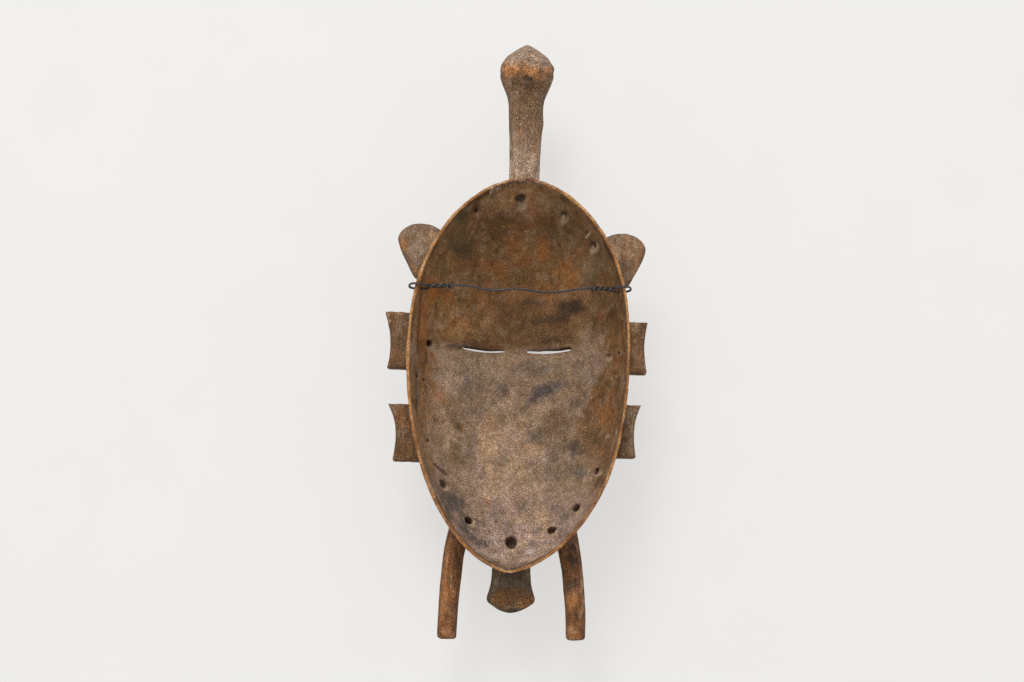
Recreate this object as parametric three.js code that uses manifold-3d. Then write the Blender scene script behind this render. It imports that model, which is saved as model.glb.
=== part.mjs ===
// Face mask of the kpelie kind: a hollow wooden shell carved from one block, with its hanging wire.
// It lies face down with the hollow up. Lengths are in millimetres. +X is to the right as the hollow
// side is looked at, +Y runs from the chin to the knob, +Z points up out of the hollow.
// The carving is worked out in the mask's own frame: x from its middle line, y from the widest line
// of the opening, and depth down from the flat back edge.

import * as THREE from 'three';
import { LoftGeometry } from 'three/addons/geometries/LoftGeometry.js';
import { mergeVertices } from 'three/addons/utils/BufferGeometryUtils.js';
import Module from 'manifold-3d';

// Driving dimensions: the opening and its place
const RIM_HEIGHT = 64;
const HALF_WIDTH = 61.4;
const CROWN_REACH = 99.3;
const CHIN_REACH = 120.3;
const CROWN_SHAPE = { power: 2.4, root: 0.58 };
const CHIN_SHAPE = { power: 2, root: 0.5 };
const CHIN_TAPER = { share: 0.19, power: 6 };
const CHIN_POINT = { share: 0.25, power: 40 };
const RIM_EDGE = 2.2;
const MIDDLE_X = 1.15;
const WIDEST_Y = -14.65;

// How far the shell's middle line wanders to the side, as [y, x] pairs
const WANDER = [[-120, -2.4], [-95, -1], [-65, -0.1], [0, -0.4], [55, 0.4], [99, 0.5]];

// Depth of the hollow and of the face along the middle line, as [y, depth] pairs
const HOLLOW_DEPTHS = [[-117, 30], [-80, 38], [-30, 43], [7, 45], [60, 44], [97, 38]];
const FACE_DEPTHS = [[-120, 42], [-95, 47], [-70, 52], [-40, 52], [-10, 52.5], [14, 53.5], [99, 50]];
const HOLLOW_FULLNESS = { power: 3.2, root: 0.55 };
const FACE_FULLNESS = { power: 2.8, root: 0.5 };
const CREASE = { y: 8, depth: 2.5, spread: 9, reach: 36, fade: 3 };
const FOREHEAD_STEP = 8;
const MUZZLE = { y: -74, swell: 9, halfWidth: 17, halfLength: 20 };

// The brows, and the line that they follow
const BROW_TOP = 30;
const BROW_DROP = 14;
const BROW_OFFSET = 24;
const BROW_SOFTNESS = 5;
const BROW = { inner: 3, outer: 48, width: 6.4, height: 6.2, endWidth: 2.8, endHeight: 1.6 };

// The face's other features
const NOSE = [
  { y: 25, halfWidth: 3.4, crest: 61.4 },
  { y: 12, halfWidth: 3.2, crest: 60.8 },
  { y: -8, halfWidth: 3.8, crest: 61.2 },
  { y: -28, halfWidth: 5.6, crest: 62.4 },
  { y: -39, halfWidth: 7.6, crest: 62.6 },
  { y: -44, halfWidth: 7.0, crest: 60.2 },
  { y: -46, halfWidth: 4.4, crest: 54.0 },
];
const NOSE_ROOT = 14;
const LID = { x: 19, y: 8, halfLength: 15, halfHeight: 7, swell: 4.4, setBelow: 4 };
const MOUTH = { y: -74, baseDepth: 46, baseHalf: [17, 12.5], lipHalf: [12.5, 7.6], lipRound: 2.4, sides: 20 };
const MOUTH_FLAT_INSET = 0.8 * MOUTH.lipRound;
const MOUTH_WAIST = { inset: 0.6, above: 3.2 };
const MOUTH_RECESS = { half: [8.6, 4.2], depth: 3.6, floorInset: 0.6, past: 1, sides: 16 };
const TEETH = { count: 5, pitch: 3.1, width: 2.5, height: 6.4, below: 1.4 };
const BOSS = { from: 36, to: 62, halfWidth: 7, endHalfWidth: 0.6, height: 3.2 };
const HAIR_BAND = { middle: 76, drop: 22, reach: 34, width: 3.4, height: 2.2, endWidth: 1.6, endHeight: 0.4 };
const SCARS = { count: 3, pitch: 7.5, y: -17, inner: 27, outer: 41, rise: 3.5 };
const SCAR = { width: 2.6, height: 1.7, endWidth: 1, endHeight: 0.3 };
const RIDGE_SINK = 2;
const RIDGE_SHOULDER = { across: 0.75, up: 0.65 };

// Eye slits: ends as [x, y] at the hollow's floor, sagging between them, slanting up through the wood
const SLIT_HEIGHT = 1.5;
const SLIT_SAG = 0.9;
const SLIT_SLANT = Math.tan(THREE.MathUtils.degToRad(11));
const SLITS = [
  { from: [-30.6, 8.9], to: [-6.0, 7.7] },
  { from: [6.7, 7.9], to: [32.4, 10.0] },
];
const SLIT_DEPTH = 46;
const SLIT_FROM = 34;
const SLIT_END_SHARE = 0.35;

// Small holes round the rim, as [x, y, diameter], drilled halfway between square to the wall and down
const HOLES = [
  [-0.9, 90.8, 5.6], [23.8, 82.7, 4.4], [40.9, 64.6, 4.4], [-25.9, 82.1, 2.6],
  [-49.7, 7.8, 4.4], [-47.7, -51.3, 2.2], [-38.9, -72.5, 5.2], [-24.0, -91.8, 4.8],
  [-0.9, -102.5, 6.8], [21.0, -95.6, 4.2], [33.8, -82.9, 5.0], [44.8, -63.0, 4.8], [51.3, 2.9, 3.0],
];
const HOLE_REACH = 14;
const HOLE_START = 3;
const HOLE_SIDES = 8;

// Knob on its stem: [y, radius, flattening to a four-sided cap]
const STEM_X = 1.2;
const STEM_DEPTH = 18;
const STEM = [
  [84, 8.0, 0], [98, 8.6, 0], [107, 8.8, 0], [120, 9.1, 0], [132, 9.5, 0], [143, 9.8, 0], [149, 10.3, 0],
  [156.6, 12.1, 0], [162, 14.4, 0], [166, 15.9, 0], [169.5, 16.1, 0], [172, 15.0, 0.3], [176.4, 12.6, 0.8],
  [180.6, 7.6, 1], [184.2, 2.2, 1], [184.95, 0.6, 1],
];
const CAP_FLATTENING = 0.16;

// Horn lobes: outline of the left one from the middle line, and how the right one is shifted
const LOBE = [[-48, 47], [-57.8, 42.3], [-63.4, 50.5], [-68.4, 60.8], [-69.6, 66.4], [-66.6, 71.2],
  [-59.6, 74.3], [-52.2, 73.8], [-46.7, 71.6], [-38, 66]];
const LOBE_SIDES = [{ side: -1, out: 0, up: 0 }, { side: 1, out: 1.5, up: -1.5 }];
const LOBE_DEPTH = 18;
const LOBE_THICKNESS = 11;
const LOBE_ROUND = 2.4;

// Side wings: upper and lower edge, and how far the concave end reaches at its top, waist and bottom
const WINGS = [
  { side: -1, top: 21.9, bottom: -9.9, reach: [74.55, 71.05, 72.75] },
  { side: 1, top: 21.0, bottom: -8.3, reach: [72.25, 70.4, 71.7] },
  { side: -1, top: -29.5, bottom: -60.9, reach: [70.95, 66.3, 67.6] },
  { side: 1, top: -26.1, bottom: -55.6, reach: [68.6, 65.2, 66.4] },
];
const WING_DEPTH = 15;
const WING_THICKNESS = 9;
const WING_ROUND = 1.2;
const WING_ROOT = 10;

// Legs: centre line as [x, y, depth], and the radius along it
const LEGS = [
  { line: [[-25.2, -78, 26], [-30.7, -102, 26], [-32.8, -118, 25], [-33.7, -131, 25], [-34.2, -144, 25],
    [-34.4, -155.5, 25]], radius: [5.9, 5.8, 5.7, 5.6, 5.5, 5.3] },
  { line: [[25.2, -78, 26], [30.8, -104, 26], [33.1, -117, 25], [34.4, -129, 25], [35.4, -142, 25],
    [35.7, -154.4, 25]], radius: [6.2, 6.2, 5.9, 5.7, 5.4, 5.1] },
];
const FOOT_ROUND = 1.6;
const FOOT_STEPS = [[1, 0], [0.4, 0.4], [0, 1.2]];

// Chin tab: half of its outline as [x, y] from its own middle line, from the shell to the rounded end
const TAB = [
  [10.7, -95], [10.7, -121], [11.6, -127.5], [13, -131.8], [13.4, -133.4], [12.6, -135.3], [9.6, -137.4],
  [5.4, -139.6], [0, -140.6],
];
const TAB_X = -0.3;
const TAB_DEPTH = 25;
const TAB_THICKNESS = 12;
const TAB_ROUND = 2;

// Hanging wire
const WIRE_RADIUS = 0.65;
const WIRE_SPAN = [
  [-50.5, 35.2, 2.2], [-44, 35.2, 1.4], [-37.6, 36.0, 1.0], [-28.2, 35.5, 0.8], [-17.1, 33.6, 0.8],
  [-8.9, 34.1, 0.8], [-3.4, 35.0, 0.8], [4.9, 34.3, 0.8], [13.3, 33.5, 0.8], [21.5, 34.1, 0.8],
  [27.1, 35.1, 0.8], [32.6, 36.2, 0.9], [38.1, 37.0, 1.2], [44, 37.0, 1.6], [51.6, 36.9, 2.2],
];
const WIRE_ENDS = [
  { side: -1, y: 34.8, hole: 8, out: 62, twistFrom: 52.2, twistTo: 37, turns: 2.25 },
  { side: 1, y: 37.2, hole: 8, out: 61.5, twistFrom: 52.6, twistTo: 38, turns: 2.75 },
];
const WIRE_HOLE = { radius: 1.6, from: 40, to: 70 };

// Bends of a wire end, from the span over the rim and back through its hole. Each is counted outwards
// from a line inside the rim, from the rim's outer edge or from the outermost reach, upwards from the
// hole's middle, and down from the back edge or from the hole.
const WIRE_BENDS = [
  { from: 'inside', out: -0.5, up: 0.4, below: 'edge', depth: 0.2 },
  { from: 'rim', out: -2.2, up: 0.6, below: 'edge', depth: -1.1 },
  { from: 'rim', out: 1.2, up: 0.7, below: 'edge', depth: -0.8 },
  { from: 'outermost', out: -0.7, up: 0.5, below: 'edge', depth: 1.6 },
  { from: 'outermost', out: -0.4, up: 0.1, below: 'hole', depth: -3.4 },
  { from: 'rim', out: 1.6, up: 0, below: 'hole', depth: -0.2 },
  { from: 'rim', out: -2, up: 0, below: 'hole', depth: 0 },
  { from: 'inside', out: -0.6, up: 0, below: 'hole', depth: -0.6 },
  { from: 'inside', out: -2.0, up: -0.4, below: 'hole', depth: -3.4 },
];
const WIRE_INSIDE = 5.2;
const TWIST_LEAD = 1.5;
const TWIST_POINTS = 4;
const TWIST_RADIUS = 1.55;
const WIRE_STEPS = 140;

// What is cut away below the plane that the mask lies on
const GROUND = [300, 500, 20];

// The chin's edge draws in faster than the sides do
const CHIN_MARGIN = 1.3;

// How finely the carving is worked out
const ROW_ANGLE = Math.PI / 18;
const ROW_GAP = 8;
const END_ANGLE = 0.035;
const FACE_COLUMNS = 18;
const HOLLOW_COLUMNS = 14;
const LID_RISE = 5;

const wasm = await Module();
wasm.setup();

// A closed geometry as a solid that can be joined and cut.
function solidOf(geometry) {
  const bare = new THREE.BufferGeometry();
  bare.setAttribute('position', geometry.getAttribute('position'));
  bare.setIndex(geometry.getIndex());
  const merged = mergeVertices(bare);
  const vertProperties = new Float32Array(merged.attributes.position.array);
  const triVerts = new Uint32Array(merged.index.array);
  return new wasm.Manifold(new wasm.Mesh({ numProp: 3, vertProperties, triVerts }));
}

// A solid back as a geometry.
function geometryOf(solid) {
  const mesh = solid.getMesh();
  const geometry = new THREE.BufferGeometry();
  geometry.setAttribute('position', new THREE.BufferAttribute(mesh.vertProperties, 3));
  geometry.setIndex(new THREE.BufferAttribute(mesh.triVerts, 1));
  geometry.computeVertexNormals();
  return geometry;
}

// A point of the mask's own frame in the space that the mask lies in.
function at(x, y, depth) {
  return new THREE.Vector3(x, y, RIM_HEIGHT - depth);
}

// A solid through a list of closed rings of points.
function loft(rings) {
  return solidOf(new LoftGeometry(rings, { capStart: true, capEnd: true }));
}

// Smooth curve through [place, value] pairs, read at a place.
function along(pairs, place) {
  const last = pairs.length - 1;
  const here = THREE.MathUtils.clamp(place, pairs[0][0], pairs[last][0]);
  let i = 0;
  while (i < last - 1 && here > pairs[i + 1][0]) i += 1;
  const slope = (k) => {
    const before = pairs[Math.max(k - 1, 0)];
    const after = pairs[Math.min(k + 1, last)];
    return (after[1] - before[1]) / (after[0] - before[0]);
  };
  const step = pairs[i + 1][0] - pairs[i][0];
  const t = (here - pairs[i][0]) / step;
  const startShare = 2 * t ** 3 - 3 * t ** 2 + 1;
  const startPull = (t ** 3 - 2 * t ** 2 + t) * step * slope(i);
  const endPull = (t ** 3 - t ** 2) * step * slope(i + 1);
  return startShare * pairs[i][1] + startPull + (1 - startShare) * pairs[i + 1][1] + endPull;
}

// The opening's outline, drawn in by a margin: its reach up and down, and its half width at y.
function outline(margin) {
  return { half: HALF_WIDTH - margin, crown: CROWN_REACH - margin, chin: CHIN_REACH - CHIN_MARGIN * margin };
}

function shareOf(shape, y) {
  return y > 0 ? y / shape.crown : -y / shape.chin;
}

function halfWidth(shape, y) {
  const t = Math.min(shareOf(shape, y), 1);
  const { power, root } = y > 0 ? CROWN_SHAPE : CHIN_SHAPE;
  const drawnIn = CHIN_TAPER.share * t ** CHIN_TAPER.power + CHIN_POINT.share * t ** CHIN_POINT.power;
  return shape.half * (1 - t ** power) ** root * (y > 0 ? 1 : 1 - drawnIn);
}

// A point of the shell, x counted from its wandering middle line.
function onShell(x, y, depth) {
  return at(x + along(WANDER, y), y, depth);
}

const EDGE_OUTLINE = outline(0);
const HOLLOW_OUTLINE = outline(RIM_EDGE);

// Falls from 1 in the middle to 0 at the edge, steep at the edge.
function fall(part, fullness) {
  const t = Math.min(Math.abs(part), 1);
  return (1 - t ** fullness.power) ** fullness.root;
}

// Depth of the hollow's floor, with a crease across it at the eyes.
function hollowDepth(x, y) {
  const half = halfWidth(HOLLOW_OUTLINE, y);
  if (half <= 0) return 0;
  const fade = 1 + Math.exp((Math.abs(x) - CREASE.reach) / CREASE.fade);
  const crease = CREASE.depth * Math.exp(-Math.abs(y - CREASE.y) / CREASE.spread) / fade;
  const middle = (along(HOLLOW_DEPTHS, y) + crease) * fall(shareOf(HOLLOW_OUTLINE, y), HOLLOW_FULLNESS);
  return middle * fall(x / half, HOLLOW_FULLNESS);
}

// Height of the brow line at x: an arc over each eye that drops to the nose and to the temple.
function browLine(x) {
  const off = (Math.abs(x) - BROW_OFFSET) / BROW_OFFSET;
  return BROW_TOP - BROW_DROP * off * off;
}

// Depth of the outer face: forehead over the brow line, set-back eyes and cheeks, swelling muzzle.
function faceDepth(x, y) {
  const half = halfWidth(EDGE_OUTLINE, y);
  if (half <= 0) return 0;
  const under = browLine(x) - 2 * BROW_SOFTNESS;
  const forehead = FOREHEAD_STEP * THREE.MathUtils.smoothstep(y, under, browLine(x));
  const across = x / MUZZLE.halfWidth;
  const down = (y - MUZZLE.y) / MUZZLE.halfLength;
  const muzzle = MUZZLE.swell * Math.exp(-across * across - down * down);
  const middle = along(FACE_DEPTHS, y) + forehead + muzzle;
  return middle * fall(shareOf(EDGE_OUTLINE, y), FACE_FULLNESS) * fall(x / half, FACE_FULLNESS);
}

// Heights of the cross sections: close together at the two ends, no further apart than the gap.
function rowHeights(shape) {
  const heights = [];
  for (let a = -Math.PI / 2 + END_ANGLE; a < Math.PI / 2; a += ROW_ANGLE) {
    heights.push(Math.sin(a) * (a > 0 ? shape.crown : shape.chin));
  }
  heights.push(Math.cos(END_ANGLE) * shape.crown);
  const rows = [heights[0]];
  for (let i = 1; i < heights.length; i += 1) {
    const parts = Math.ceil((heights[i] - heights[i - 1]) / ROW_GAP);
    for (let k = 1; k <= parts; k += 1) {
      rows.push(THREE.MathUtils.lerp(heights[i - 1], heights[i], k / parts));
    }
  }
  return rows;
}

// Cross section at y: a flat or raised top edge, then the curve of the depth function underneath.
function section(shape, y, depthAt, columns, rise) {
  const half = halfWidth(shape, y);
  const ring = [onShell(-half, y, -rise), onShell(half, y, -rise)];
  if (rise > 0) ring.push(onShell(half, y, 0));
  for (let j = 1; j < columns; j += 1) {
    const x = half * Math.cos(Math.PI * j / columns);
    ring.push(onShell(x, y, depthAt(x, y)));
  }
  if (rise > 0) ring.push(onShell(-half, y, 0));
  return ring;
}

function block() {
  return loft(rowHeights(EDGE_OUTLINE).map((y) => section(EDGE_OUTLINE, y, faceDepth, FACE_COLUMNS, 0)));
}

function hollow() {
  const rows = rowHeights(HOLLOW_OUTLINE);
  return loft(rows.map((y) => section(HOLLOW_OUTLINE, y, hollowDepth, HOLLOW_COLUMNS, LID_RISE)));
}

// A raised ridge on the face along a plan curve, with its half width and height worked out at each share.
function ridge(planAt, halfWidthAt, heightAt, steps) {
  const rings = [];
  const { across: shoulder, up: share } = RIDGE_SHOULDER;
  for (let i = 0; i <= steps; i += 1) {
    const t = i / steps;
    const here = planAt(t);
    const tangent = planAt(Math.min(t + 0.01, 1)).sub(planAt(Math.max(t - 0.01, 0))).normalize();
    const side = new THREE.Vector2(-tangent.y, tangent.x);
    const wide = halfWidthAt(t);
    const high = heightAt(t);
    const profile = [
      [-1, -RIDGE_SINK], [-shoulder, share * high], [0, high], [shoulder, share * high], [1, -RIDGE_SINK],
    ];
    rings.push(profile.map(([across, up]) => {
      const x = here.x + side.x * wide * across;
      const y = here.y + side.y * wide * across;
      return onShell(x, y, faceDepth(x, y) + up);
    }));
  }
  return loft(rings);
}

function taperedEnds(t, full, ends) {
  return ends + (full - ends) * Math.sin(Math.PI * t) ** 0.5;
}

function brow(side) {
  const plan = (t) => {
    const x = THREE.MathUtils.lerp(BROW.inner, BROW.outer, t);
    return new THREE.Vector2(side * x, browLine(x));
  };
  const wide = (t) => taperedEnds(t, BROW.width / 2, BROW.endWidth / 2);
  const high = (t) => taperedEnds(t, BROW.height, BROW.endHeight);
  return ridge(plan, wide, high, 12);
}

function cheekScar(side, number) {
  const y = SCARS.y - number * SCARS.pitch;
  const plan = (t) => new THREE.Vector2(
    side * THREE.MathUtils.lerp(SCARS.inner, SCARS.outer, t),
    y + SCARS.rise * t,
  );
  const wide = (t) => taperedEnds(t, SCAR.width / 2, SCAR.endWidth / 2);
  const high = (t) => taperedEnds(t, SCAR.height, SCAR.endHeight);
  return ridge(plan, wide, high, 3);
}

function hairBand() {
  const plan = (t) => {
    const x = THREE.MathUtils.lerp(-HAIR_BAND.reach, HAIR_BAND.reach, t);
    return new THREE.Vector2(x, HAIR_BAND.middle - HAIR_BAND.drop * (x / HAIR_BAND.reach) ** 2);
  };
  const wide = (t) => taperedEnds(t, HAIR_BAND.width / 2, HAIR_BAND.endWidth / 2);
  const high = (t) => taperedEnds(t, HAIR_BAND.height, HAIR_BAND.endHeight);
  return ridge(plan, wide, high, 10);
}

function foreheadBoss() {
  const plan = (t) => new THREE.Vector2(0, THREE.MathUtils.lerp(BOSS.from, BOSS.to, t));
  const wide = (t) => THREE.MathUtils.lerp(BOSS.halfWidth, BOSS.endHalfWidth, Math.abs(2 * t - 1));
  return ridge(plan, wide, () => BOSS.height, 4);
}

// Long thin nose: a rounded crest over a root sunk in the face, as [share of the half width, drop].
function nose() {
  const profile = [
    [-1, NOSE_ROOT], [1, NOSE_ROOT], [1, 5.5], [0.72, 1.8], [0.25, 0], [-0.25, 0], [-0.72, 1.8], [-1, 5.5],
  ];
  return loft([...NOSE].reverse().map(({ y, halfWidth: wide, crest }) => (
    profile.map(([across, drop]) => at(across * wide, y, crest - drop))
  )));
}

function eyelid(side) {
  const lid = new THREE.SphereGeometry(1, 12, 6);
  lid.scale(LID.halfLength, LID.halfHeight, LID.swell);
  const middle = at(side * LID.x, LID.y, faceDepth(LID.x, LID.y - LID.setBelow));
  lid.translate(middle.x, middle.y, middle.z);
  return solidOf(lid);
}

// An oval ring of points across the mask's depth.
function oval(y, half, depth, sides) {
  const ring = [];
  for (let i = 0; i < sides; i += 1) {
    const a = 2 * Math.PI * i / sides;
    ring.push(at(half[0] * Math.cos(a), y + half[1] * Math.sin(a), depth));
  }
  return ring;
}

// Small protruding oval mouth whose flat lips touch the surface that the mask lies on.
function mouth() {
  const { y, lipHalf, sides } = MOUTH;
  const back = RIM_HEIGHT - MOUTH.lipRound;
  const cone = loft([
    oval(y, lipHalf.map((half) => half - MOUTH_FLAT_INSET), RIM_HEIGHT, sides),
    oval(y, lipHalf, back, sides),
    oval(y, lipHalf.map((half) => half - MOUTH_WAIST.inset), back - MOUTH_WAIST.above, sides),
    oval(y, MOUTH.baseHalf, MOUTH.baseDepth, sides),
  ]);
  const floor = RIM_HEIGHT - MOUTH_RECESS.depth;
  const recess = loft([
    oval(y, MOUTH_RECESS.half, RIM_HEIGHT + MOUTH_RECESS.past, MOUTH_RECESS.sides),
    oval(y, MOUTH_RECESS.half.map((half) => half - MOUTH_RECESS.floorInset), floor, MOUTH_RECESS.sides),
  ]);
  let whole = cone.subtract(recess);
  for (let i = 0; i < TEETH.count; i += 1) {
    const tooth = new THREE.BoxGeometry(TEETH.width, TEETH.height, MOUTH_RECESS.depth);
    const x = (i - (TEETH.count - 1) / 2) * TEETH.pitch;
    const middle = at(x, y, RIM_HEIGHT - TEETH.below - MOUTH_RECESS.depth / 2);
    tooth.translate(middle.x, middle.y, middle.z);
    whole = whole.add(solidOf(tooth));
  }
  return whole;
}

// Round stem that swells to a knob with a rough ridge and a soft four-sided cap.
function stem() {
  const sides = 14;
  return loft(STEM.map(([y, radius, flatness]) => {
    const ring = [];
    for (let i = 0; i < sides; i += 1) {
      const a = Math.PI - 2 * Math.PI * i / sides;
      const r = radius * (1 - CAP_FLATTENING * flatness * (1 - Math.cos(4 * a)) / 2);
      ring.push(at(STEM_X + r * Math.cos(a), y, STEM_DEPTH - r * Math.sin(a)));
    }
    return ring;
  }));
}

// A flat carved plate of one outline, with its edges rounded over.
function plate(shape, depth, thickness, round) {
  const geometry = new THREE.ExtrudeGeometry(shape, {
    depth: thickness - 2 * round,
    bevelEnabled: true,
    bevelThickness: round,
    bevelSize: round,
    bevelOffset: -round,
    bevelSegments: 1,
    curveSegments: 5,
    steps: 1,
  });
  geometry.translate(0, 0, RIM_HEIGHT - depth - thickness / 2 + round);
  return solidOf(geometry);
}

function hornLobe({ side, out, up }) {
  const points = LOBE.map(([x, y]) => new THREE.Vector2(side * (out - x), y + up));
  if (side > 0) points.reverse();
  const curve = new THREE.SplineCurve(points.slice());
  return plate(new THREE.Shape(curve.getPoints(18)), LOBE_DEPTH, LOBE_THICKNESS, LOBE_ROUND);
}

// A side wing: straight upper and lower edges and a concave outer end.
function wing({ side, top, bottom, reach }) {
  const root = halfWidth(EDGE_OUTLINE, Math.abs(top) > Math.abs(bottom) ? top : bottom) - WING_ROOT;
  const pull = 2 * reach[1] - (reach[0] + reach[2]) / 2;
  const shape = new THREE.Shape();
  shape.moveTo(side * root, top);
  shape.lineTo(side * root, bottom);
  shape.lineTo(side * reach[2], bottom);
  shape.quadraticCurveTo(side * pull, (top + bottom) / 2, side * reach[0], top);
  return plate(shape, WING_DEPTH, WING_THICKNESS, WING_ROUND);
}

// A leg: round sections along a bent centre line, ending in a foot with a rounded edge.
function leg({ line, radius }) {
  const curve = new THREE.CatmullRomCurve3(line.map(([x, y, depth]) => at(x, y, depth)));
  const steps = 9;
  const sides = 9;
  const radii = radius.map((value, i) => [i / (radius.length - 1), value]);
  const rings = [];
  for (let i = 0; i <= steps; i += 1) {
    const t = i / steps;
    rings.push(disc(curve.getPoint(t), curve.getTangent(t), along(radii, t), sides));
  }
  const foot = curve.getPoint(1);
  const down = curve.getTangent(1);
  const sole = radius[radius.length - 1];
  rings.pop();
  for (const [back, inwards] of FOOT_STEPS) {
    const middle = foot.clone().addScaledVector(down, -back * FOOT_ROUND);
    rings.push(disc(middle, down, sole - inwards * FOOT_ROUND, sides));
  }
  return loft(rings);
}

// A ring of points round a centre, square to a direction.
function disc(centre, direction, radius, sides) {
  const up = new THREE.Vector3(0, 0, 1);
  const across = new THREE.Vector3().crossVectors(direction, up).normalize();
  const over = new THREE.Vector3().crossVectors(across, direction).normalize();
  const ring = [];
  for (let i = 0; i < sides; i += 1) {
    const a = 2 * Math.PI * i / sides;
    ring.push(centre.clone()
      .addScaledVector(across, radius * Math.cos(a))
      .addScaledVector(over, -radius * Math.sin(a)));
  }
  return ring;
}

function chinTab() {
  const right = TAB.map(([x, y]) => new THREE.Vector2(TAB_X + x, y));
  const left = TAB.slice(0, -1).map(([x, y]) => new THREE.Vector2(TAB_X - x, y)).reverse();
  return plate(new THREE.Shape([...right, ...left].reverse()), TAB_DEPTH, TAB_THICKNESS, TAB_ROUND);
}

// Cutter for one eye slit: a thin sagging blade that slants through the wood.
function slit({ from, to }) {
  const steps = 8;
  const rings = [];
  for (let i = 0; i <= steps; i += 1) {
    const t = i / steps;
    const x = THREE.MathUtils.lerp(from[0], to[0], t);
    const y = THREE.MathUtils.lerp(from[1], to[1], t) - SLIT_SAG * Math.sin(Math.PI * t);
    const half = taperedEnds(t, SLIT_HEIGHT / 2, SLIT_END_SHARE * SLIT_HEIGHT / 2);
    rings.push([[half, SLIT_FROM], [-half, SLIT_FROM], [-half, RIM_HEIGHT + 1], [half, RIM_HEIGHT + 1]]
      .map(([off, depth]) => at(x, y + off + (depth - SLIT_DEPTH) * SLIT_SLANT, depth)));
  }
  return loft(rings);
}

// Cutter for one small hole, halfway between square to the hollow's wall and straight down.
function hole([x, y, diameter]) {
  const probe = 0.2;
  const across = x - along(WANDER, y);
  const slopeX = (hollowDepth(across + probe, y) - hollowDepth(across - probe, y)) / (2 * probe);
  const slopeY = (hollowDepth(across, y + probe) - hollowDepth(across, y - probe)) / (2 * probe);
  const down = new THREE.Vector3(0, 0, -1);
  const into = new THREE.Vector3(-slopeX, -slopeY, -1).normalize().add(down).normalize();
  const start = onShell(across, y, hollowDepth(across, y)).addScaledVector(into, -HOLE_START);
  return rod(start, start.clone().addScaledVector(into, HOLE_REACH), diameter / 2);
}

// A straight round rod between two points.
function rod(start, end, radius) {
  const geometry = new THREE.CylinderGeometry(radius, radius, start.distanceTo(end), HOLE_SIDES);
  const turn = new THREE.Quaternion().setFromUnitVectors(
    new THREE.Vector3(0, 1, 0),
    end.clone().sub(start).normalize(),
  );
  geometry.applyQuaternion(turn);
  const middle = start.clone().lerp(end, 0.5);
  geometry.translate(middle.x, middle.y, middle.z);
  return solidOf(geometry);
}

function wireHole({ side, y, hole: depth }) {
  return rod(at(side * WIRE_HOLE.from, y, depth), at(side * WIRE_HOLE.to, y, depth), WIRE_HOLE.radius);
}

// A length of wire through a list of [x, y, depth] points.
function wireThrough(points) {
  const path = new THREE.CatmullRomCurve3(points.map(([x, y, depth]) => at(x, y, depth)));
  const round = new THREE.Shape();
  const sides = 5;
  for (let i = 0; i < sides; i += 1) {
    const a = 2 * Math.PI * i / sides;
    const place = [WIRE_RADIUS * Math.cos(a), WIRE_RADIUS * Math.sin(a)];
    if (i === 0) round.moveTo(...place);
    else round.lineTo(...place);
  }
  return new THREE.ExtrudeGeometry(round, { steps: WIRE_STEPS, extrudePath: path, bevelEnabled: false });
}

// One end of the wire: from the span out over the rim, back through the wall and round the span.
function wireEnd({ side, y, hole: depth, out, twistFrom, twistTo, turns }) {
  const rim = halfWidth(EDGE_OUTLINE, y);
  const lines = { inside: rim - WIRE_INSIDE, rim, outermost: out };
  const levels = { edge: 0, hole: depth };
  const points = WIRE_BENDS.map((bend) => (
    [side * (lines[bend.from] + bend.out), y + bend.up, levels[bend.below] + bend.depth]
  ));
  for (let i = 0; i <= TWIST_POINTS * turns; i += 1) {
    const t = i / (TWIST_POINTS * turns);
    const x = side * THREE.MathUtils.lerp(twistFrom - TWIST_LEAD, twistTo, t);
    const angle = 2 * Math.PI * turns * t;
    const span = spanAt(x);
    points.push([x, span.y - TWIST_RADIUS * Math.cos(angle), span.depth + TWIST_RADIUS * Math.sin(angle)]);
  }
  return points;
}

// Where the span lies at x.
function spanAt(x) {
  return {
    y: along(WIRE_SPAN.map(([place, y]) => [place, y]), x),
    depth: along(WIRE_SPAN.map(([place, , depth]) => [place, depth]), x),
  };
}

function maskSolid() {
  let whole = block();
  const raised = [brow(-1), brow(1), nose(), eyelid(-1), eyelid(1), mouth(), foreheadBoss(), hairBand()];
  for (const side of [-1, 1]) {
    for (let number = 0; number < SCARS.count; number += 1) raised.push(cheekScar(side, number));
  }
  const carried = [stem(), chinTab(), ...LOBE_SIDES.map(hornLobe), ...WINGS.map(wing), ...LEGS.map(leg)];
  for (const piece of [...raised, ...carried]) whole = whole.add(piece);
  const ground = new THREE.BoxGeometry(...GROUND);
  ground.translate(0, 0, -GROUND[2] / 2);
  const pierced = [...SLITS.map(slit), ...HOLES.map(hole), ...WIRE_ENDS.map(wireHole)];
  for (const cut of [hollow(), solidOf(ground), ...pierced]) whole = whole.subtract(cut);
  return whole;
}

function wire() {
  const [left, right] = WIRE_ENDS.map(wireEnd);
  return wireThrough([...left.reverse(), ...WIRE_SPAN, ...right]);
}

function named(name, geometry, material) {
  const mesh = new THREE.Mesh(geometry, material);
  mesh.name = name;
  return mesh;
}

const agedWood = new THREE.MeshStandardMaterial({ color: 0x5e4430, roughness: 0.72, metalness: 0 });
const darkWire = new THREE.MeshStandardMaterial({ color: 0x3a3a3c, roughness: 0.45, metalness: 0.85 });

const group = new THREE.Group();
group.position.set(MIDDLE_X, WIDEST_Y, 0);
group.add(named('mask', geometryOf(maskSolid()), agedWood));
group.add(named('hanging_wire', wire(), darkWire));

export default group;
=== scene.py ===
"""A carved wooden face mask of the kpelie kind, lying face down with its hollow up, and its hanging wire.

Shapes are worked out in millimetres in the mask's own frame: x from its middle line, y from the widest
line of the opening towards the knob, and depth down from the flat back edge.
"""

import math

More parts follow.
